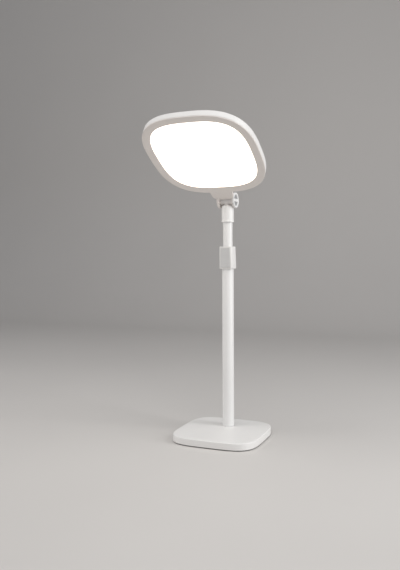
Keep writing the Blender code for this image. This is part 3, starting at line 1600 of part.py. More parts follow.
stud_start = -NUT_INNER_X - NUT_THICKNESS
hinge_stud = rod(
    "hinge_stud",
    STUD_RADIUS,
    (stud_start, 0, 0),
    KNOB_INNER_X + STUD_SINK - stud_start,
    axis="X",
    parent=knob_axis,
)
dress(hinge_stud, STEEL, 0.3, 1.0)

# Control pod: a shallow box on the back for the driver, its three buttons and the power inlet.

def pod_ring(inset, depth):
    half_width, half_height = POD_WIDTH / 2 - inset, POD_HEIGHT / 2 - inset
    outline = rounded_rectangle(half_width, half_height, POD_CORNER - inset, POD_CORNER_STEPS)
    return [(x, depth, z + POD_CENTRE_UP) for x, z in outline]


pod_cover = loft(
    "pod_cover",
    [
        pod_ring(POD_WALL, POD_INNER_Y),
        pod_ring(POD_WALL, BACK_Y + GAP),
        pod_ring(0, BACK_Y + GAP),
        pod_ring(0, POD_BACK_Y - POD_EDGE),
        pod_ring(POD_EDGE * (1 - diagonal), POD_BACK_Y - POD_EDGE * (1 - diagonal)),
        pod_ring(POD_EDGE, POD_BACK_Y),
    ],
    parent=head,
)
inlet_low_up = POD_CENTRE_UP - POD_HEIGHT / 2 + INLET_INSET
inlet_high_y = SWITCH_Y + INLET_HEIGHT
cut(
    pod_cover,
    box(
        "pod_inlet_hole",
        (-INLET_WIDTH / 2 - GAP, SWITCH_Y - GAP, inlet_low_up - OVERRUN),
        (INLET_WIDTH / 2 + GAP, inlet_high_y + GAP, inlet_low_up + POD_WALL + OVERRUN),
        parent=head,
        helper=True,
    ),
)
board_half_width = POD_WIDTH / 2 - POD_WALL - BOARD_MARGIN
board_half_height = POD_HEIGHT / 2 - POD_WALL - BOARD_MARGIN
driver_board = box(
    "driver_board",
    (-board_half_width, BOARD_Y, POD_CENTRE_UP - board_half_height),
    (board_half_width, BOARD_Y + BOARD_THICKNESS, POD_CENTRE_UP + board_half_height),
    parent=head,
)
corner_room = POD_CORNER - POD_WALL
for number, (sign_x, sign_z) in enumerate(((-1, -1), (-1, 1), (1, -1), (1, 1)), 1):
    corner_x, corner_z = sign_x * board_half_width, sign_z * board_half_height + POD_CENTRE_UP
    cut(
        driver_board,
        rod(
            f"board_corner_{number}",
            corner_room / 2,
            (corner_x, BOARD_Y - OVERRUN, corner_z),
            BOARD_THICKNESS + 2 * OVERRUN,
            axis="Y",
            parent=head,
            helper=True,
        ),
    )
for number, (x, z) in enumerate(pod_posts, 1):
    cut(
        driver_board,
        rod(
            f"board_post_hole_{number}",
            POD_POST_RADIUS + GAP,
            (x, BOARD_Y - OVERRUN, z),
            BOARD_THICKNESS + 2 * OVERRUN,
            axis="Y",
            parent=head,
            helper=True,
        ),
    )
    cut(pod_cover, countersink(f"pod_sink_{number}", x, z, POD_BACK_Y))
    small_screw(f"pod_screw_{number}", x, z, POD_BACK_Y)
dress(driver_board, BOARD_GREEN, 0.4)

buttons = (("up", -BUTTON_PITCH), ("power", 0), ("down", BUTTON_PITCH))
for label, x in buttons:
    switch = box(
        f"tact_switch_{label}",
        (x - SWITCH_SIDE / 2, SWITCH_Y, POD_CENTRE_UP - SWITCH_SIDE / 2),
        (x + SWITCH_SIDE / 2, SWITCH_Y + SWITCH_BODY_HEIGHT, POD_CENTRE_UP + SWITCH_SIDE / 2),
        parent=head,
    )
    join(
        switch,
        rod(
            f"switch_plunger_{label}",
            SWITCH_PLUNGER_RADIUS,
            (x, SWITCH_Y + SWITCH_BODY_HEIGHT / 2, POD_CENTRE_UP),
            SWITCH_BODY_HEIGHT / 2 + SWITCH_PLUNGER_HEIGHT,
            axis="Y",
            parent=head,
            helper=True,
        ),
    )
    dress(switch, SOFT_BLACK, 0.4)
    cut(
        pod_cover,
        rod(
            f"pod_button_hole_{label}",
            BUTTON_RADIUS + GAP,
            (x, POD_INNER_Y - OVERRUN, POD_CENTRE_UP),
            POD_WALL + 2 * OVERRUN,
            axis="Y",
            sides=MEDIUM_SIDES,
            parent=head,
            helper=True,
        ),
    )
    stem_end = PLUNGER_END_Y + BUTTON_REST_GAP
    button_end = POD_BACK_Y + BUTTON_PROUD
    button_axis = pivot(f"button_{label}_axis", (x, 0, POD_CENTRE_UP), parent=head)
    button = turned(
        f"button_{label}",
        [
            (0, button_end),
            (BUTTON_RADIUS - BUTTON_EDGE, button_end),
            (BUTTON_RADIUS, button_end - BUTTON_EDGE),
            (BUTTON_RADIUS, FLANGE_END_Y),
            (BUTTON_FLANGE_RADIUS, FLANGE_END_Y),
            (BUTTON_FLANGE_RADIUS, FLANGE_END_Y - BUTTON_FLANGE),
            (BUTTON_STEM_RADIUS, FLANGE_END_Y - BUTTON_FLANGE),
            (BUTTON_STEM_RADIUS, stem_end),
            (0, stem_end),
        ],
        axis="Y",
        parent=button_axis,
        sides=MEDIUM_SIDES,
    )
    dress(button, WARM_WHITE, 0.4)
dress(pod_cover, WHITE, 0.42)

inlet_back_up = inlet_low_up + INLET_LENGTH
usb_inlet = box(
    "usb_inlet",
    (-INLET_WIDTH / 2, SWITCH_Y, inlet_low_up),
    (INLET_WIDTH / 2, inlet_high_y, inlet_back_up),
    parent=head,
)
mouth = box(
    "inlet_mouth",
    (-INLET_WIDTH / 2 + INLET_WALL, SWITCH_Y + INLET_WALL, inlet_low_up - OVERRUN),
    (INLET_WIDTH / 2 - INLET_WALL, inlet_high_y - INLET_WALL, inlet_low_up + INLET_MOUTH_DEPTH),
    parent=head,
    helper=True,
)
inlet_middle_y = (SWITCH_Y + inlet_high_y) / 2
inlet_tongue = box(
    "inlet_tongue",
    (-INLET_WIDTH / 2 + INLET_TONGUE_INSET, inlet_middle_y - INLET_TONGUE / 2, inlet_low_up + INLET_WALL),
    (INLET_WIDTH / 2 - INLET_TONGUE_INSET, inlet_middle_y + INLET_TONGUE / 2, inlet_back_up - INLET_WALL),
    parent=head,
    helper=True,
)
cut(usb_inlet, mouth)
join(usb_inlet, inlet_tongue)
dress(usb_inlet, ZINC, 0.3, 1.0)
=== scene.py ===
import math

import bmesh
import bpy
import numpy as np
from mathutils import Matrix, Vector


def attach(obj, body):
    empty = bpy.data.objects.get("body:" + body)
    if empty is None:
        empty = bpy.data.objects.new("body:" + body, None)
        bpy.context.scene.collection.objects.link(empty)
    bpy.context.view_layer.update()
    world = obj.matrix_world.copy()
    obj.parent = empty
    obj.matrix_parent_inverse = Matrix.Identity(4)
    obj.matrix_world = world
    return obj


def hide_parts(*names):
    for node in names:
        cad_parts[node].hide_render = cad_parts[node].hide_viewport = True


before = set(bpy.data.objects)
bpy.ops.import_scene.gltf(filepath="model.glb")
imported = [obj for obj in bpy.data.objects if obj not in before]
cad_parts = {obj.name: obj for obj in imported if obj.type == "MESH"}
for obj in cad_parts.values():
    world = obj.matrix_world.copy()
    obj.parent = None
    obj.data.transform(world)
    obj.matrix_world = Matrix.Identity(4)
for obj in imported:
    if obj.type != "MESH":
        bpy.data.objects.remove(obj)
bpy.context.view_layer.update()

# Camera: the viewpoint solved from the photograph's outlines, a little above the middle of the pole
# and 20 degrees to the light's left. Image rows run over 570 units, so the focal length is in those.
focal_rows = 634.4
eye = Vector((0.41862, -1.12999, 0.34010))
heading, dip, roll = math.radians(22.85), math.radians(2.66), math.radians(-0.30)
forward = Vector((-math.sin(heading) * math.cos(dip), math.cos(heading) * math.cos(dip), -math.sin(dip)))
camera = bpy.data.objects.new("camera", bpy.data.cameras.new("camera"))
camera.data.sensor_fit = "VERTICAL"
camera.data.sensor_height = 36
camera.data.lens = focal_rows * 36 / 570
camera.data.clip_end = 30
camera.matrix_world = (
    Matrix.Translation(eye) @ forward.to_track_quat("-Z", "Y").to_matrix().to_4x4() @ Matrix.Rotation(
        roll, 4, "Z"
    )
)
bpy.context.scene.collection.objects.link(camera)
bpy.context.scene.camera = camera
bpy.context.scene.view_settings.view_transform = "Standard"


# Studio: a pale floor that curves up into a backdrop, lit by large soft boxes and a dim pale surround.
def skin(name, rings, ends=(False, False), loop=False, around=True):
    """A mesh through a (rings, points, 3) array: quads join each ring to the next, and the last to
    the first where loop is set. A ring closes on itself unless around is False. ends says which of
    the first and last ring is closed by one flat face. Faces are turned outwards and shaded smooth."""
    rings = np.asarray(rings, float)
    count, size = rings.shape[:2]
    row, column = np.meshgrid(
        np.arange(count if loop else count - 1), np.arange(size if around else size - 1), indexing="ij"
    )
    next_row, next_column = (row + 1) % count, (column + 1) % size
    here, there = row * size, next_row * size
    quads = np.stack([here + column, here + next_column, there + next_column, there + column], -1)
    faces = quads.reshape(-1, 4).tolist()
    if ends[0]:
        faces.append(list(range(size))[::-1])
    if ends[1]:
        faces.append(list(range((count - 1) * size, count * size)))
    mesh = bpy.data.meshes.new(name)
    mesh.from_pydata(rings.reshape(-1, 3).tolist(), [], faces)
    shape = bmesh.new()
    shape.from_mesh(mesh)
    bmesh.ops.recalc_face_normals(shape, faces=shape.faces)
    shape.to_mesh(mesh)
    shape.free()
    mesh.shade_smooth()
    mesh.set_sharp_from_angle(angle=math.radians(40))
    obj = bpy.data.objects.new(name, mesh)
    bpy.context.scene.collection.objects.link(obj)
    return obj


def surface(
    name,
    colour,
    rough,
    grain=900.0,
    depth=0.00002,
    metallic=0.0,
    spread=0.03,
    stretch=(1, 1, 1),
    mottle=14.0,
):
    """A procedural finish: a fine noise is the bump, at grain cells per metre and depth metres deep,
    and a broad noise drifts the colour by the spread and the roughness with it. stretch draws both
    out along an axis, for drawn, brushed or rubbed surfaces."""
    look = bpy.data.materials.new(name)
    look.use_nodes = True
    tree = look.node_tree
    shader = tree.nodes["Principled BSDF"]
    shader.inputs["Metallic"].default_value = metallic
    place = tree.nodes.new("ShaderNodeTexCoord")
    scale = tree.nodes.new("ShaderNodeMapping")
    scale.inputs["Scale"].default_value = stretch
    tree.links.new(place.outputs["Object"], scale.inputs["Vector"])
    fine = tree.nodes.new("ShaderNodeTexNoise")
    fine.inputs["Scale"].default_value = grain
    fine.inputs["Detail"].default_value = 3
    broad = tree.nodes.new("ShaderNodeTexNoise")
    broad.inputs["Scale"].default_value = mottle
    broad.inputs["Detail"].default_value = 5
    for noise in (fine, broad):
        tree.links.new(scale.outputs["Vector"], noise.inputs["Vector"])
    bump = tree.nodes.new("ShaderNodeBump")
    bump.inputs["Distance"].default_value = depth
    bump.inputs["Strength"].default_value = 0.6
    tree.links.new(fine.outputs["Fac"], bump.inputs["Height"])
    tree.links.new(bump.outputs["Normal"], shader.inputs["Normal"])
    drift = tree.nodes.new("ShaderNodeValToRGB")
    drift.color_ramp.elements[0].position = 0.3
    drift.color_ramp.elements[1].position = 0.7
    drift.color_ramp.elements[0].color = [max(c * (1 - spread), 0) for c in colour] + [1]
    drift.color_ramp.elements[1].color = [min(c * (1 + spread), 1) for c in colour] + [1]
    tree.links.new(broad.outputs["Fac"], drift.inputs["Fac"])
    tree.links.new(drift.outputs["Color"], shader.inputs["Base Color"])
    gloss = tree.nodes.new("ShaderNodeMapRange")
    gloss.inputs["From Min"].default_value = 0.3
    gloss.inputs["From Max"].default_value = 0.7
    gloss.inputs["To Min"].default_value = rough * 0.85
    gloss.inputs["To Max"].default_value = min(rough * 1.2, 1)
    tree.links.new(broad.outputs["Fac"], gloss.inputs["Value"])
    tree.links.new(gloss.outputs["Result"], shader.inputs["Roughness"])
    return look


def wear_look(obj, look):
    """Puts the finish on every material slot of a piece."""
    if not obj.data.materials:
        obj.data.materials.append(look)
    for index in range(len(obj.data.materials)):
        obj.data.materials[index] = look
    return obj


sweep_depth, sweep_height, sweep_bend = 2.4, 3.0, 0.9
bend = np.linspace(0, math.pi / 2, 24)
sweep_y = np.concatenate([[-4.0], sweep_depth - sweep_bend + sweep_bend * np.sin(bend), [sweep_depth]])
sweep_z = np.concatenate([[0.0], sweep_bend * (1 - np.cos(bend)), [sweep_height]])
sweep_x = np.linspace(-5, 5, 9)
sweep = np.stack(np.broadcast_arrays(sweep_x[None, :], sweep_y[:, None], sweep_z[:, None]), -1)
floor = skin("studio_floor", sweep, around=False)
wear_look(
    floor,
    surface("studio_floor", (0.62, 0.60, 0.58), 0.55, grain=300, depth=0.00001, spread=0.01, mottle=2),
)

world = bpy.data.worlds.new("studio")
bpy.context.scene.world = world
world.use_nodes = True
world.node_tree.nodes["Background"].inputs["Color"].default_value = (0.86, 0.87, 0.90, 1)
world.node_tree.nodes["Background"].inputs["Strength"].default_value = 0.38
for name, place, width, height, power, tint in (
    ("right_box", (1.5, -0.15, 0.75), 0.7, 1.6, 17, (1.0, 1.0, 1.0)),
    ("left_box", (-1.5, -0.95, 0.75), 0.7, 1.6, 9, (1.0, 0.965, 0.945)),
    ("top_box", (0.0, -0.9, 1.9), 1.8, 1.2, 15, (1.0, 0.985, 0.96)),
):
    lamp = bpy.data.objects.new(name, bpy.data.lights.new(name, "AREA"))
    lamp.data.shape = "RECTANGLE"
    lamp.data.size = width
    lamp.data.size_y = height
    lamp.data.energy = power
    lamp.data.color = tint
    lamp.location = place
    lamp.rotation_euler = (Vector((0, 0, 0.3)) - Vector(place)).to_track_quat("-Z", "Y").to_euler()
    bpy.context.scene.collection.objects.link(lamp)


# Base: an injection moulded cover with a crisp rounded edge over a steel plate, on a rubber pad set in from
# the edge.
# The plate is coloured near black, partly its black coat and partly painted shadow for the dark line under
# the rim. Four screws hold the plate.
def outline(half, exponent, inset=0.0, count=288):
    """Points of |x|^n + |y|^n = half^n, each moved inwards along the outline's normal by the inset."""
    angle = 2 * math.pi * (np.arange(count) + 0.5) / count
    x = np.sign(np.cos(angle)) * np.abs(np.cos(angle)) ** (2 / exponent)
    y = np.sign(np.sin(angle)) * np.abs(np.sin(angle)) ** (2 / exponent)
    across = np.sign(x) * np.abs(x) ** (exponent - 1)
    up = np.sign(y) * np.abs(y) ** (exponent - 1)
    length = np.hypot(across, up)
    return np.stack([half * x - inset * across / length, half * y - inset * up / length], -1)


def rounded(corners, radius, closed=False, steps=5):
    """The polyline through the corners with each corner replaced by a parabolic arc, which starts
    and ends the radius away from it, or less where its sides are short. radius is one value or one
    for each corner."""
    corners = np.asarray(corners, float)
    count = len(corners)
    radii = np.broadcast_to(radius, count)
    points = []
    for i in range(count):
        if radii[i] == 0 or (not closed and i in (0, count - 1)):
            points.append(corners[i])
            continue
        before, after = corners[i - 1] - corners[i], corners[(i + 1) % count] - corners[i]
        start = min(radii[i], 0.48 * np.hypot(*before)) * before / np.hypot(*before)
        end = min(radii[i], 0.48 * np.hypot(*after)) * after / np.hypot(*after)
        for t in np.linspace(0, 1, steps + 1):
            points.append(corners[i] + (1 - t) ** 2 * start + t**2 * end)
    return np.array(points)


base_half, base_exponent, base_middle_y = 0.0811, 4.15, -0.0297
base_top, base_rim = 0.0142, 0.0018
pole_radius = 0.011
cover_profile = rounded(
    [(0.002, base_rim), (0.0, base_rim), (0.0, base_top), (0.012, base_top)],
    (0, 0.0003, 0.0019, 0),
    steps=8,
)


def base_ring(inset, height):
    """The base's outline at a height, moved inwards by the inset."""
    points = outline(base_half, base_exponent, inset) + (0, base_middle_y)
    return np.column_stack([points, np.full(len(points), height)])


rings = [base_ring(inset, height) for inset, height in cover_profile]
edge = base_ring(0.012, base_top)[:, :2]
around_pole = edge / np.hypot(edge[:, 0], edge[:, 1])[:, None] * (pole_radius + 0.0003)
for share in (0.25, 0.5, 0.75, 0.93, 1.0):
    points = edge * (1 - share) + around_pole * share
    rings.append(np.column_stack([points, np.full(len(points), base_top)]))
rings.append(np.column_stack([around_pole, np.full(len(around_pole), base_top - 0.0022)]))
for share in (0.8, 0.4, 0.0):
    points = base_ring(0.004, base_top)[:, :2] * (1 - share) + around_pole * share
    rings.append(np.column_stack([points, np.full(len(points), base_top - 0.0022)]))
rings.append(base_ring(0.002, base_top - 0.0042))
cover = skin("base_cover_moulding", rings, loop=True)
white_moulding = surface(
    "white_moulding", (0.80, 0.79, 0.775), 0.42, grain=2600, depth=0.000012, spread=0.015
)
wear_look(cover, white_moulding)
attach(cover, "stand")
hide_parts("base_cover")

rubber = surface("pad_rubber", (0.025, 0.025, 0.027), 0.85, grain=1800, depth=0.00005, spread=0.2)
# Near black plate: partly a black coat, partly painted shadow for the dark line under the base's rim.
painted_shadow_plate = surface(
    "painted_shadow_plate", (0.03, 0.03, 0.032), 0.5, grain=700, depth=0.00002, spread=0.1, mottle=60
)
plated = surface(
    "zinc_plate", (0.62, 0.63, 0.65), 0.3, grain=1500, depth=0.000004, metallic=1, spread=0.06, mottle=120
)
wear_look(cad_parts["foot_pad"], rubber)
# The weight wears the near black plate, which is partly painted shadow under the rim.
wear_look(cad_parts["base_weight"], painted_shadow_plate)
for name in ("base_screw_1", "base_screw_2", "base_screw_3", "base_screw_4", "pole_bolt", "pole_washer"):
    wear_look(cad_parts[name], plated)


# Pole: a drawn steel tube, powder coated white, that a bolt and a threaded plug hold down on the
# plate. The coat has a faint orange peel, and it is a little glossier than the mouldings.
def lathe(
    name, profile, centre=(0, 0, 0), axis="Z", sides=128, loop=False, ends=(False, False), frame_at=None
):
    """A profile of (radius, height) points turned round an axis through the centre; frame_at is the
    matrix of the body's own frame, where the piece is made in that frame."""
    profile = np.asarray(profile, float)
    angle = 2 * math.pi * np.arange(sides) / sides
    radius, height = profile[:, 0][:, None], profile[:, 1][:, None]
    first, second = radius * np.cos(angle), radius * np.sin(angle)
    level = np.broadcast_to(height, first.shape)
    order = {"Z": (first, second, level), "X": (level, first, second), "Y": (second, level, first)}[axis]
    rings = np.stack(order, -1) + np.asarray(centre)
    if frame_at is not None:
        turn = np.array(frame_at)
        rings = rings @ turn[:3, :3].T + turn[:3, 3]
    return skin(name, rings, ends, loop)


tube_wall, clamp_bottom, clamp_top = 0.0012, 0.315, 0.3568
tube_top = 0.3347
tube_profile = rounded(
    [
        (pole_radius, tube_top),
        (pole_radius, 0.0120),
        (pole_radius - tube_wall, 0.0120),
        (pole_radius - tube_wall, tube_top),
    ],
    0.0003,
    closed=True,
    steps=3,
)
coat = surface("powder_coat", (0.82, 0.815, 0.805), 0.34, grain=1100, depth=0.00003, spread=0.012)
lower_tube = wear_look(lathe("lower_tube_coated", tube_profile, loop=True), coat)
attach(lower_tube, "stand")
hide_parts("outer_tube")
natural = surface(
    "natural_nylon", (0.74, 0.73, 0.68), 0.5, grain=1500, depth=0.00001, spread=0.04, mottle=60
)
wear_look(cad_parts["pole_plug"], plated)


# Height clamp: a moulded square collar on the tube's end. Its right side flares a little downwards,
# and its front is cut away for the lever, so that a narrow border stands round the lever's face.
def block(name, low, high, edge=0.0, steps=3, draft=0.0, corner=0.0):
    """A block between two corners: the draft pulls its top in on the +X side, corner rounds the
    upright edges, and edge rounds the rest."""
    low, high = Vector(low), Vector(high)
    shape = bmesh.new()
    size = high - low
    bmesh.ops.create_cube(
        shape, size=1, matrix=Matrix.Translation((low + high) / 2) @ Matrix.Diagonal((*size, 1))
    )
    for point in shape.verts:
        if point.co.z > (low.z + high.z) / 2 and point.co.x > (low.x + high.x) / 2:
            point.co.x -= draft
    tall = size.z / 2
    if corner:
        upright = [e for e in shape.edges if abs(e.verts[0].co.z - e.verts[1].co.z) > tall]
        bmesh.ops.bevel(shape, geom=upright, offset=corner, segments=10, affect="EDGES", profile=0.5)
    if edge:
        level = [e for e in shape.edges if not corner or abs(e.verts[0].co.z - e.verts[1].co.z) < tall]
        bmesh.ops.bevel(shape, geom=level, offset=edge, segments=steps, affect="EDGES", profile=0.5)
    bmesh.ops.recalc_face_normals(shape, faces=shape.faces)
    mesh = bpy.data.meshes.new(name)
    shape.to_mesh(mesh)
    shape.free()
    obj = bpy.data.objects.new(name, mesh)
    bpy.context.scene.collection.objects.link(obj)
    return obj


def combine(target, *steps, sharp=35):
    """Works the other solids into the target, each cut away or joined on, and removes them."""
    for operation, other in steps:
        change = target.modifiers.new(other.name, "BOOLEAN")
        change.operation = operation
        change.solver = "EXACT"
        change.object = other
    bpy.context.view_layer.update()
    done = bpy.data.meshes.new_from_object(target.evaluated_get(bpy.context.evaluated_depsgraph_get()))
    target.modifiers.clear()
    target.data = done
    for _, other in steps:
        bpy.data.objects.remove(other, do_unlink=True)
    done.shade_smooth()
    done.set_sharp_from_angle(angle=math.radians(sharp))
    return target


clamp_half, lever_lip, lever_front, lever_right = 0.0132, 0.0026, -0.0135, 0.0094
pin_x, pin_y = -0.0102, -0.0102
cam_low, cam_high = 0.3365, 0.3527
gap, screw_bore = 0.0003, 0.0023
lever_low, lever_high = clamp_bottom + lever_lip, clamp_top - lever_lip
collar = block(
    "clamp_collar",
    (-clamp_half, -clamp_half, clamp_bottom),
    (clamp_half, clamp_half, clamp_top),
    edge=0.0010,
    draft=0.0014,
    corner=0.004,
)
bore = lathe("collar_bore", [(0.0103, 0.30), (0.0103, 0.37)], ends=(True, True))
seat = lathe("collar_seat", [(0.0113, 0.30), (0.0113, 0.335)], ends=(True, True))
room = block(
    "collar_room", (-0.0160, -0.0160, lever_low - gap), (lever_right + gap, -0.0121, lever_high + gap)
)
corner_room = block(
    "collar_corner", (-0.0160, -0.0160, lever_low - gap), (pin_x, pin_y + 0.0018, lever_high + gap)
)
knuckle_room = lathe(
    "collar_knuckle",
    [(0.0025, lever_low - gap), (0.0025, lever_high + gap)],
    (pin_x, pin_y, 0),
    ends=(True, True),
    sides=48,
)
cam_room = lathe(
    "collar_cam",
    [(0.0044, cam_low - gap), (0.0044, cam_high + gap)],
    (pin_x + 0.0006, pin_y + 0.0006, 0),
    ends=(True, True),
    sides=48,
)
grub_hole = lathe(
    "collar_hole",
    [(screw_bore, 0.0), (screw_bore, 0.02)],
    (0, 0, clamp_bottom + 0.010),
    "Y",
    48,
    ends=(True, True),
)
combine(
    collar,
    ("DIFFERENCE", bore),
    ("DIFFERENCE", seat),
    ("DIFFERENCE", room),
    ("DIFFERENCE", corner_room),
    ("DIFFERENCE", knuckle_room),
    ("DIFFERENCE", cam_room),
    ("DIFFERENCE", grub_hole),
)
wear_look(collar, white_moulding)
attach(collar, "stand")
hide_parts("clamp_body")
wear_look(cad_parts["guide_bush"], natural)
wear_look(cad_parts["collar_screw"], plated)
wear_look(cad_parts["lever_pin"], plated)

# Clamp lever: a moulded door flush in the collar. It turns on a pin in the left front corner, and
# its cam bears on the split bush round the sliding tube. A matt grey plate is let into its face, and its
# grey is partly painted shade on that flat face.
face = block(
    "clamp_lever_door",
    (pin_x - 0.0015, lever_front, lever_low),
    (lever_right, lever_front + 0.0011, lever_high),
    edge=0.0004,
)
dish = block(
    "lever_dish",
    (-0.0099, lever_front - 0.001, lever_low + 0.0004),
    (0.0088, lever_front + 0.0003, lever_high - 0.0004),
)
neck = block(
    "lever_neck", (pin_x - 0.0015, lever_front + 0.0006, lever_low), (pin_x + 0.0015, pin_y, lever_high)
)
lip = block(
    "lever_lip",
    (lever_right - 0.0012, lever_front + 0.0006, lever_low),
    (lever_right, lever_front + 0.0027, lever_high),
)
knuckle = lathe(
    "lever_knuckle",
    [(0.0022, lever_low), (0.0022, lever_high)],
    (pin_x, pin_y, 0),
    ends=(True, True),
    sides=64,
)
cam = lathe(
    "lever_cam",
    [(0.0028, cam_low), (0.0028, cam_high)],
    (pin_x + 0.00092, pin_y + 0.00092, 0),
    ends=(True, True),
    sides=64,
)
pin_hole = lathe(
    "lever_bore", [(0.00145, 0.31), (0.00145, 0.36)], (pin_x, pin_y, 0), ends=(True, True), sides=48
)
combine(
    face,
    ("DIFFERENCE", dish),
    ("UNION", neck),
    ("UNION", lip),
    ("UNION", knuckle),
    ("UNION", cam),
    ("DIFFERENCE", pin_hole),
)
wear_look(face, white_moulding)
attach(face, "lever")
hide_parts("clamp_lever")
inlay = block(
    "lever_face_plate",
    (-0.0098, lever_front + 0.0001, lever_low + 0.0005),
    (0.0087, lever_front + 0.0005, lever_high - 0.0005),
    edge=0.0001,
)
# The plate's grey is partly painted shade on the lever's flat face.
wear_look(
    inlay,
    surface("lever_face_painted_shade", (0.60, 0.60, 0.595), 0.6, grain=2600, depth=0.00002, spread=0.03, mottle=90),
)
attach(inlay, "lever")


# Sliding tube: the thinner coated tube. The bush has drawn faint upright marks down its coat.
mast_radius, mast_low, mast_high = 0.009, 0.2149, 0.416
mast_profile = rounded(
    [
        (mast_radius, mast_high),
        (mast_radius, mast_low),
        (mast_radius - tube_wall, mast_low),
        (mast_radius - tube_wall, mast_high),
    ],
    0.0003,
    closed=True,
    steps=3,
)
rubbed = surface(
    "rubbed_coat",
    (0.83, 0.825, 0.815),
    0.30,
    grain=1400,
    depth=0.000015,
    spread=0.02,
    stretch=(1, 1, 0.02),
    mottle=160,
)
upper_tube = wear_look(lathe("upper_tube_coated", mast_profile, loop=True), rubbed)
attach(upper_tube, "mast")
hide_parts("inner_tube")
for name in ("lower_guide", "swivel_washer"):
    wear_look(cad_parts[name], natural)
for name in ("swivel_plug", "wave_washer", "swivel_bolt"):
    wear_look(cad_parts[name], plated)

# Swivel ferrule: a turned and coated sleeve that turns on the tube's end. It has a rolled bead at
# its foot and a rounded crown, and the barrel stands off the crown by a thin dark gap.
hinge_z, barrel_radius = 0.4435, 0.0085
ferrule_radius, ferrule_foot = 0.0114, 0.4025
crown = hinge_z - barrel_radius - 0.0012
ferrule_profile = rounded(
    [
        (0.0073, crown),
        (ferrule_radius, crown),
        (ferrule_radius, ferrule_foot + 0.0026),
        (ferrule_radius + 0.0004, ferrule_foot + 0.0018),
        (ferrule_radius + 0.0004, ferrule_foot + 0.0005),
        (ferrule_radius - 0.0004, ferrule_foot),
        (0.0093, ferrule_foot),
        (0.0093, 0.4172),
        (0.0028, 0.4172),
        (0.0028, 0.4192),
        (0.0073, 0.4192),
    ],
    (0.0003, 0.0032, 0.0008, 0.0004, 0.0004, 0.0004, 0.0002, 0, 0, 0, 0),
    closed=True,
    steps=6,
)
ferrule = lathe("swivel_ferrule", ferrule_profile, loop=True, sides=192)
screw_hole = lathe(
    "ferrule_hole",
    [(screw_bore, 0.0), (screw_bore, 0.02)],
    (0, 0, crown - 0.005),
    "Y",
    48,
    ends=(True, True),
)
combine(ferrule, ("DIFFERENCE", screw_hole), sharp=30)
wear_look(ferrule, coat)
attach(ferrule, "swivel")
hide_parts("ferrule")

# Hinge barrel: a cast cross barrel with a spigot down into the ferrule, coated a shade warmer.
barrel_half = 0.0125
barrel_profile = rounded(
    [
        (0.0023, barrel_half - 0.0009),
        (0.0067, barrel_half - 0.0009),
        (0.0067, barrel_half),
        (barrel_radius, barrel_half),
        (barrel_radius, -barrel_half),
        (0.0067, -barrel_half),
        (0.0067, -barrel_half + 0.0009),
        (0.0023, -barrel_half + 0.0009),
    ],
    (0, 0, 0.0001, 0.0005, 0.0005, 0.0001, 0, 0),
    closed=True,
)
barrel = lathe("cross_barrel", barrel_profile, (0, 0, hinge_z), "X", loop=True)
spigot = lathe("barrel_spigot", [(0.007, 0.4240), (0.007, hinge_z - 0.004)], ends=(True, True))
screw_seat = lathe(
    "barrel_seat",
    [(screw_bore, 0.0076), (screw_bore, 0.02)],
    (0, 0, crown - 0.005),
    "Y",
    48,
    ends=(True, True),
)
combine(barrel, ("UNION", spigot), ("DIFFERENCE", screw_seat))
wear_look(barrel, surface("barrel_coat", (0.74, 0.715, 0.70), 0.38, grain=1200, depth=0.00003, spread=0.02))
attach(barrel, "swivel")
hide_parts("hinge_barrel")
wear_look(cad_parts["barrel_screw"], plated)

# Head frame: one moulding makes the front ring, whose face slopes in to the lens, and the tongue that
# reaches down to the hinge and ends in the two round ears. It is a white moulding coloured a warm light
# grey, which is painted shade and painted warm light from the lens.
head_at = Matrix.Translation((0, 0, hinge_z)) @ Matrix.Rotation(math.radians(59.3), 4, "X")
head_half, head_exponent, head_up, head_points = 0.101, 2.89, 0.1325, 360
face_y, seam_y, back_y = -0.0044, -0.0024, 0.0088


def in_head(points):
    """Points given in the head's own frame, moved to their place on the lamp."""
    turn = np.array(head_at)
    return points @ turn[:3, :3].T + turn[:3, 3]


def head_rings(profile):
    """Rings of the head's outline, one for each (inset, depth) of the profile."""
    rings = []
    for inset, depth in profile:
        points = outline(head_half, head_exponent, inset, head_points)
        rings.append(
            in_head(np.column_stack([points[:, 0], np.full(head_points, depth), points[:, 1] + head_up]))
        )
    return np.array(rings)


def plate(name, corners, radii, low, high, edge, spacing=0.0007):
    """A flat plate in the head's frame: the rounded outline of the corners from one depth to another.
    Its rim is a quarter round, drawn by moving the outline inwards along its own normals."""
    path = rounded(corners, radii, closed=True, steps=24)
    step = np.hypot(*(np.roll(path, -1, 0) - path).T)
    path = path[step > 1e-7]
    step = np.hypot(*(np.roll(path, -1, 0) - path).T)
    along = np.concatenate([[0], np.cumsum(step)])
    count = int(along[-1] / spacing)
    at = np.arange(count) * along[-1] / count
    closed = np.vstack([path, path[:1]])
    path = np.column_stack([np.interp(at, along, closed[:, 0]), np.interp(at, along, closed[:, 1])])
    tangent = np.roll(path, -1, 0) - np.roll(path, 1, 0)
    normal = np.column_stack([-tangent[:, 1], tangent[:, 0]]) / np.hypot(*tangent.T)[:, None]
    area = np.sum(path[:, 0] * np.roll(path[:, 1], -1) - path[:, 1] * np.roll(path[:, 0], -1))
    normal *= 1 if area > 0 else -1
    rings = []
    bend = np.linspace(0, math.pi / 2, 5)
    insets = np.concatenate([edge * (1 - np.cos(bend))[::-1], edge * (1 - np.cos(bend))])
    depths = np.concatenate([low + edge * (1 - np.sin(bend))[::-1], high - edge * (1 - np.sin(bend))])
    for inset, depth in zip(insets, depths):
        points = path + normal * inset
        rings.append(in_head(np.column_stack([points[:, 0], np.full(count, depth), points[:, 1]])))
    return skin(name, rings, ends=(True, True))


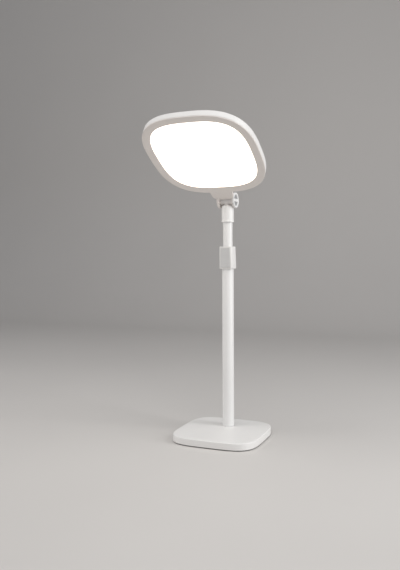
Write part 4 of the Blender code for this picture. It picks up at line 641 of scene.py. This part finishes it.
frame_profile = rounded(
    [
        (0.0, seam_y),
        (0.0, face_y),
        (0.0033, face_y),
        (0.0144, face_y + 0.0014),
        (0.0144, face_y + 0.0022),
        (0.0035, face_y + 0.0022),
        (0.0035, seam_y + 0.0018),
        (0.0023, seam_y + 0.0018),
        (0.0023, seam_y),
    ],
    (0.0002, 0.0019, 0.0008, 0.0004, 0, 0, 0, 0, 0),
    closed=True,
)
ring_piece = skin("head_frame", head_rings(frame_profile), loop=True)
tongue = plate(
    "frame_tongue",
    [
        (0.0200, 0.0350),
        (-0.0240, 0.0350),
        (-0.0240, 0.0315),
        (-0.0225, 0.0094),
        (0.0163, 0.0094),
        (0.0163, 0.0150),
        (0.0200, 0.0315),
    ],
    (0, 0, 0.002, 0.0135, 0.005, 0.002, 0.002),
    face_y + 0.0001,
    face_y + 0.0065,
    0.0007,
)
ear_in, ear_out, disc_radius, seat_radius = 0.0128, 0.0172, 0.01425, 0.01265
knob_room = lathe(
    "tongue_knob_room", [(0.01465, 0.0134), (0.01465, 0.03)], axis="X", ends=(True, True), frame_at=head_at
)
cap_room = lathe(
    "tongue_cap_room", [(0.0134, -0.03), (0.0134, -0.0154)], axis="X", ends=(True, True), frame_at=head_at
)
combine(tongue, ("DIFFERENCE", knob_room), ("DIFFERENCE", cap_room), sharp=30)
right_ear = rounded(
    [(0.0023, 0.0128), (0.0023, 0.0139), (disc_radius, 0.0139), (disc_radius, ear_in)],
    (0, 0, 0.0003, 0.0004),
    closed=True,
)
left_ear = rounded(
    [
        (0.0043, -0.0137),
        (0.0043, -0.0160),
        (seat_radius, -0.0160),
        (seat_radius, -ear_out),
        (disc_radius, -ear_out),
        (disc_radius, -ear_in),
        (0.0023, -ear_in),
        (0.0023, -0.0137),
    ],
    (0, 0, 0.0002, 0.0004, 0.0012, 0.0004, 0, 0),
    closed=True,
)
# Warm light grey on the white frame: painted shade and painted warm light from the lens.
painted_shade_moulding = surface("painted_shade_moulding", (0.78, 0.735, 0.70), 0.45, grain=2400, depth=0.000015, spread=0.02)
for piece in (
    ring_piece,
    tongue,
    lathe("frame_ear_right", right_ear, axis="X", loop=True, frame_at=head_at),
    lathe("frame_ear_left", left_ear, axis="X", loop=True, frame_at=head_at),
):
    wear_look(piece, painted_shade_moulding)
    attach(piece, "head")
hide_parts("front_frame")

# Rear housing: a white moulded pan that closes the head's back and makes its bright side wall. Four
# screws go through it into the frame's posts.
housing_profile = rounded(
    [(0.0023, seam_y + 0.0003), (0.0, seam_y + 0.0003), (0.0, back_y), (0.012, back_y)],
    (0, 0.0002, 0.0019, 0),
    steps=8,
)
rings = head_rings(housing_profile)
middle = np.array(head_at @ Vector((0, back_y, head_up)))
back_rings = [rings[-1] * (1 - s) + middle * s for s in (0.15, 0.35, 0.6, 0.85)]
housing = skin("rear_pan", np.concatenate([rings, back_rings]), ends=(False, True))
sinks = []
posts = outline(head_half, head_exponent, 0.0073, 56)
post_places = [posts[6 + quarter * 14] for quarter in range(4)]
for x, z in post_places:
    sinks.append(
        lathe(
            "pan_sink",
            [
                (0.0027, back_y + 0.002),
                (0.0027, back_y - 0.0003),
                (0.0016, back_y - 0.0013),
                (0.0016, back_y - 0.002),
            ],
            (x, 0, z + head_up),
            "Y",
            32,
            ends=(True, True),
            frame_at=head_at,
        )
    )
solid = housing.modifiers.new("wall", "SOLIDIFY")
solid.thickness = 0.0018
solid.offset = -1
combine(housing, *[("DIFFERENCE", sink) for sink in sinks], sharp=30)
wear_look(housing, white_moulding)
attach(housing, "head")
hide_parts("rear_housing")
for number in (1, 2, 3, 4):
    wear_look(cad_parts[f"head_screw_{number}"], plated)

# Diffuser: an opal sheet behind the frame's lip, lit evenly from behind by the light guide. It is
# white over its face and falls off to a warmer glow in the last few millimetres.
lens_inset, lens_y = 0.0114, face_y + 0.0025
shares = np.concatenate([1 - np.linspace(0, 0.16, 17), np.linspace(0.8, 0.05, 10)])
edge_ring = outline(head_half, head_exponent, lens_inset, head_points)
lens_rings = []
for share, depth in [(1.0, lens_y + 0.0014)] + [(s, lens_y) for s in shares]:
    across, up = edge_ring[:, 0] * share, edge_ring[:, 1] * share + head_up
    lens_rings.append(in_head(np.column_stack([across, np.full(head_points, depth), up])))
lens = skin("opal_lens", lens_rings, ends=(True, True))
reach = np.repeat(np.concatenate([[1.0], shares]), head_points)
to_edge = lens.data.uv_layers.new(name="edge")
index = np.empty(len(lens.data.loops), np.int32)
lens.data.loops.foreach_get("vertex_index", index)
to_edge.data.foreach_set("uv", np.column_stack([reach[index], np.zeros(len(index))]).ravel())
opal = surface("opal_lens", (0.92, 0.90, 0.86), 0.5, grain=4000, depth=0.000005, spread=0.01)
tree = opal.node_tree
where = tree.nodes.new("ShaderNodeUVMap")
where.uv_map = "edge"
glow = tree.nodes.new("ShaderNodeValToRGB")
glow.color_ramp.elements[0].position = 0.86
glow.color_ramp.elements[0].color = (1.0, 0.965, 0.91, 1)
glow.color_ramp.elements[1].position = 0.985
glow.color_ramp.elements[1].color = (0.82, 0.70, 0.58, 1)
parts = tree.nodes.new("ShaderNodeSeparateXYZ")
tree.links.new(where.outputs["UV"], parts.inputs["Vector"])
tree.links.new(parts.outputs["X"], glow.inputs["Fac"])
shader = tree.nodes["Principled BSDF"]
tree.links.new(glow.outputs["Color"], shader.inputs["Emission Color"])
shader.inputs["Emission Strength"].default_value = 2.6
wear_look(lens, opal)
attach(lens, "head")
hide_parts("diffuser")

# Light engine behind the lens: a clear guide, a white reflector, an aluminium plate, two strips of
# emitters and their film leads. They keep the frame's shapes and take their own finishes.
clear = surface("clear_acrylic", (0.90, 0.92, 0.92), 0.06, grain=3000, depth=0.000002, spread=0.01)
film = surface("white_film", (0.90, 0.90, 0.90), 0.25, grain=2000, depth=0.000004, spread=0.01)
sheet_metal = surface(
    "sheet_metal", (0.70, 0.71, 0.72), 0.35, grain=700, depth=0.00001, metallic=1, stretch=(14, 1, 1)
)
strip_white = surface("strip_board", (0.80, 0.80, 0.76), 0.4, grain=1800, depth=0.00001, mottle=200)
amber_film = surface(
    "amber_film", (0.50, 0.27, 0.05), 0.35, grain=2200, depth=0.000006, spread=0.08, mottle=300
)
solder_mask = surface(
    "solder_mask", (0.03, 0.16, 0.08), 0.35, grain=2600, depth=0.00002, spread=0.15, mottle=400
)
switch_black = surface("switch_black", (0.03, 0.03, 0.03), 0.45, grain=2600, depth=0.00001, spread=0.1)
for look, names in (
    (clear, ("light_guide",)),
    (film, ("reflector_sheet",)),
    (sheet_metal, ("back_plate",)),
    (strip_white, ("led_strip_left", "led_strip_right")),
    (amber_film, ("flex_lead_left", "flex_lead_right")),
    (solder_mask, ("driver_board",)),
    (switch_black, ("tact_switch_up", "tact_switch_power", "tact_switch_down")),
    (plated, ("usb_inlet", "hinge_nut", "pod_screw_1", "pod_screw_2", "hinge_stud")),
    (natural, ("friction_washer_left", "friction_washer_right")),
):
    for name in names:
        wear_look(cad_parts[name], look)

# Nut cap: a pressed-in disc that hides the nut in the left ear.
cap = lathe(
    "nut_cap_disc",
    rounded(
        [(0.002, -0.0163), (0.01235, -0.0163), (0.01235, -0.0172), (0.002, -0.0174)], (0, 0.0001, 0.0006, 0)
    ),
    axis="X",
    ends=(True, True),
    frame_at=head_at,
)
# The cap takes the frame's warm grey, which is painted shade and painted warm light.
wear_look(cap, painted_shade_moulding)
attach(cap, "head")
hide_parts("nut_cap")

# Tension knob: a white disc against the right ear. A bar crosses its dished face, so that a finger and
# thumb turn it to draw the ears in.
# The two pockets beside the bar have a grey floor, which is painted shade in the shallow pockets.
knob_radius, knob_in, knob_out = 0.01425, 0.0142, 0.0174
knob = lathe(
    "tension_knob_disc",
    rounded(
        [
            (0.003, knob_in),
            (knob_radius, knob_in),
            (knob_radius, knob_out),
            (0.0112, knob_out),
            (0.0107, knob_out - 0.0015),
            (0.003, knob_out - 0.0015),
        ],
        (0, 0.0003, 0.0007, 0.0005, 0.0004, 0),
    ),
    (0, 0, hinge_z),
    "X",
    ends=(True, True),
)
bar = block(
    "knob_bar",
    (knob_out - 0.0018, -0.0130, hinge_z - 0.0027),
    (knob_out - 0.0002, 0.0130, hinge_z + 0.0027),
    edge=0.0006,
)
combine(knob, ("UNION", bar), sharp=40)
wear_look(
    knob,
    surface("knob_moulding", (0.84, 0.84, 0.835), 0.32, grain=1800, depth=0.00001, spread=0.02, mottle=120),
)
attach(knob, "knob")
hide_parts("tension_knob")
# Grey floor in the knob's pockets: painted shade, darker than the white knob.
pocket_shade_floor = lathe(
    "knob_pocket_shade_floor",
    [
        (0.0002, knob_out - 0.0019),
        (0.0104, knob_out - 0.0019),
        (0.0104, knob_out - 0.0013),
        (0.0085, knob_out - 0.00145),
        (0.0002, knob_out - 0.00145),
    ],
    (0, 0, hinge_z),
    "X",
    ends=(True, True),
)
wear_look(
    pocket_shade_floor, surface("pocket_painted_shade", (0.33, 0.33, 0.335), 0.5, grain=1600, depth=0.00006, spread=0.1, mottle=300)
)
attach(pocket_shade_floor, "knob")

# Control pod: a shallow moulded box on the back, with three round buttons and the inlet in its
# lower edge. Raised generic marks tell the buttons apart by touch.
pod_half_x, pod_half_z, pod_up, pod_back = 0.037, 0.017, 0.080, 0.0168
pod = plate(
    "pod_shell",
    [(x * pod_half_x, pod_up + z * pod_half_z) for x, z in ((1, 1), (-1, 1), (-1, -1), (1, -1))],
    0.0075,
    back_y + 0.0003,
    pod_back,
    0.0016,
)
inside = block("pod_inside", (-0.0354, 0, pod_up - 0.0154), (0.0354, 0.0152, pod_up + 0.0154))
inside.data.transform(head_at)
inlet_hole = block("pod_inlet", (-0.0048, 0.0101, pod_up - 0.02), (0.0048, 0.0139, pod_up - 0.014))
inlet_hole.data.transform(head_at)
steps = [("DIFFERENCE", inside), ("DIFFERENCE", inlet_hole)]
for x in (-0.016, 0, 0.016):
    hole = [(0.0045, 0.012), (0.0045, 0.02)]
    steps.append(
        (
            "DIFFERENCE",
            lathe("pod_hole", hole, (x, 0, pod_up), "Y", 64, ends=(True, True), frame_at=head_at),
        )
    )
for x, z in ((-0.030, pod_up + 0.0105), (0.030, pod_up - 0.0105)):
    sink = [(0.0027, 0.0188), (0.0027, 0.0165), (0.0016, 0.0155), (0.0016, 0.012)]
    steps.append(
        ("DIFFERENCE", lathe("pod_sink", sink, (x, 0, z), "Y", 32, ends=(True, True), frame_at=head_at))
    )
combine(pod, *steps, sharp=30)
wear_look(pod, white_moulding)
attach(pod, "head")
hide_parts("pod_cover")

key_moulding = surface(
    "key_moulding", (0.66, 0.63, 0.60), 0.4, grain=2400, depth=0.00001, spread=0.03, mottle=200
)
mark_grey = surface("mark_grey", (0.16, 0.16, 0.17), 0.5, grain=2400, depth=0.000005, spread=0.1)
for label, x in (("up", -0.016), ("power", 0.0), ("down", 0.016)):
    key = lathe(
        f"button_cap_{label}",
        rounded(
            [
                (0.001, 0.0135),
                (0.0015, 0.0135),
                (0.0015, 0.0140),
                (0.0052, 0.0140),
                (0.0052, 0.0149),
                (0.0042, 0.0149),
                (0.0042, 0.0174),
                (0.0015, 0.01725),
            ],
            (0, 0, 0, 0.0002, 0.0002, 0, 0.0006, 0),
        ),
        (x, 0, pod_up),
        "Y",
        64,
        ends=(True, True),
        frame_at=head_at,
    )
    wear_look(key, key_moulding)
    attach(key, f"button_{label}")
    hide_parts(f"button_{label}")
    if label == "power":
        arc = [(0.0017, 0.01720), (0.0021, 0.01720), (0.0021, 0.01733), (0.0017, 0.01733)]
        mark = lathe("mark_power", arc, (x, 0, pod_up), "Y", 64, loop=True, frame_at=head_at)
    else:
        mark = block(
            f"mark_{label}", (x - 0.0018, 0.0172, pod_up - 0.0002), (x + 0.0018, 0.01733, pod_up + 0.0002)
        )
        if label == "up":
            stem = block(
                "mark_stem", (x - 0.0002, 0.01722, pod_up - 0.0018), (x + 0.0002, 0.01732, pod_up + 0.0018)
            )
            combine(mark, ("UNION", stem))
        mark.data.transform(head_at)
    wear_look(mark, mark_grey)
    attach(mark, f"button_{label}")
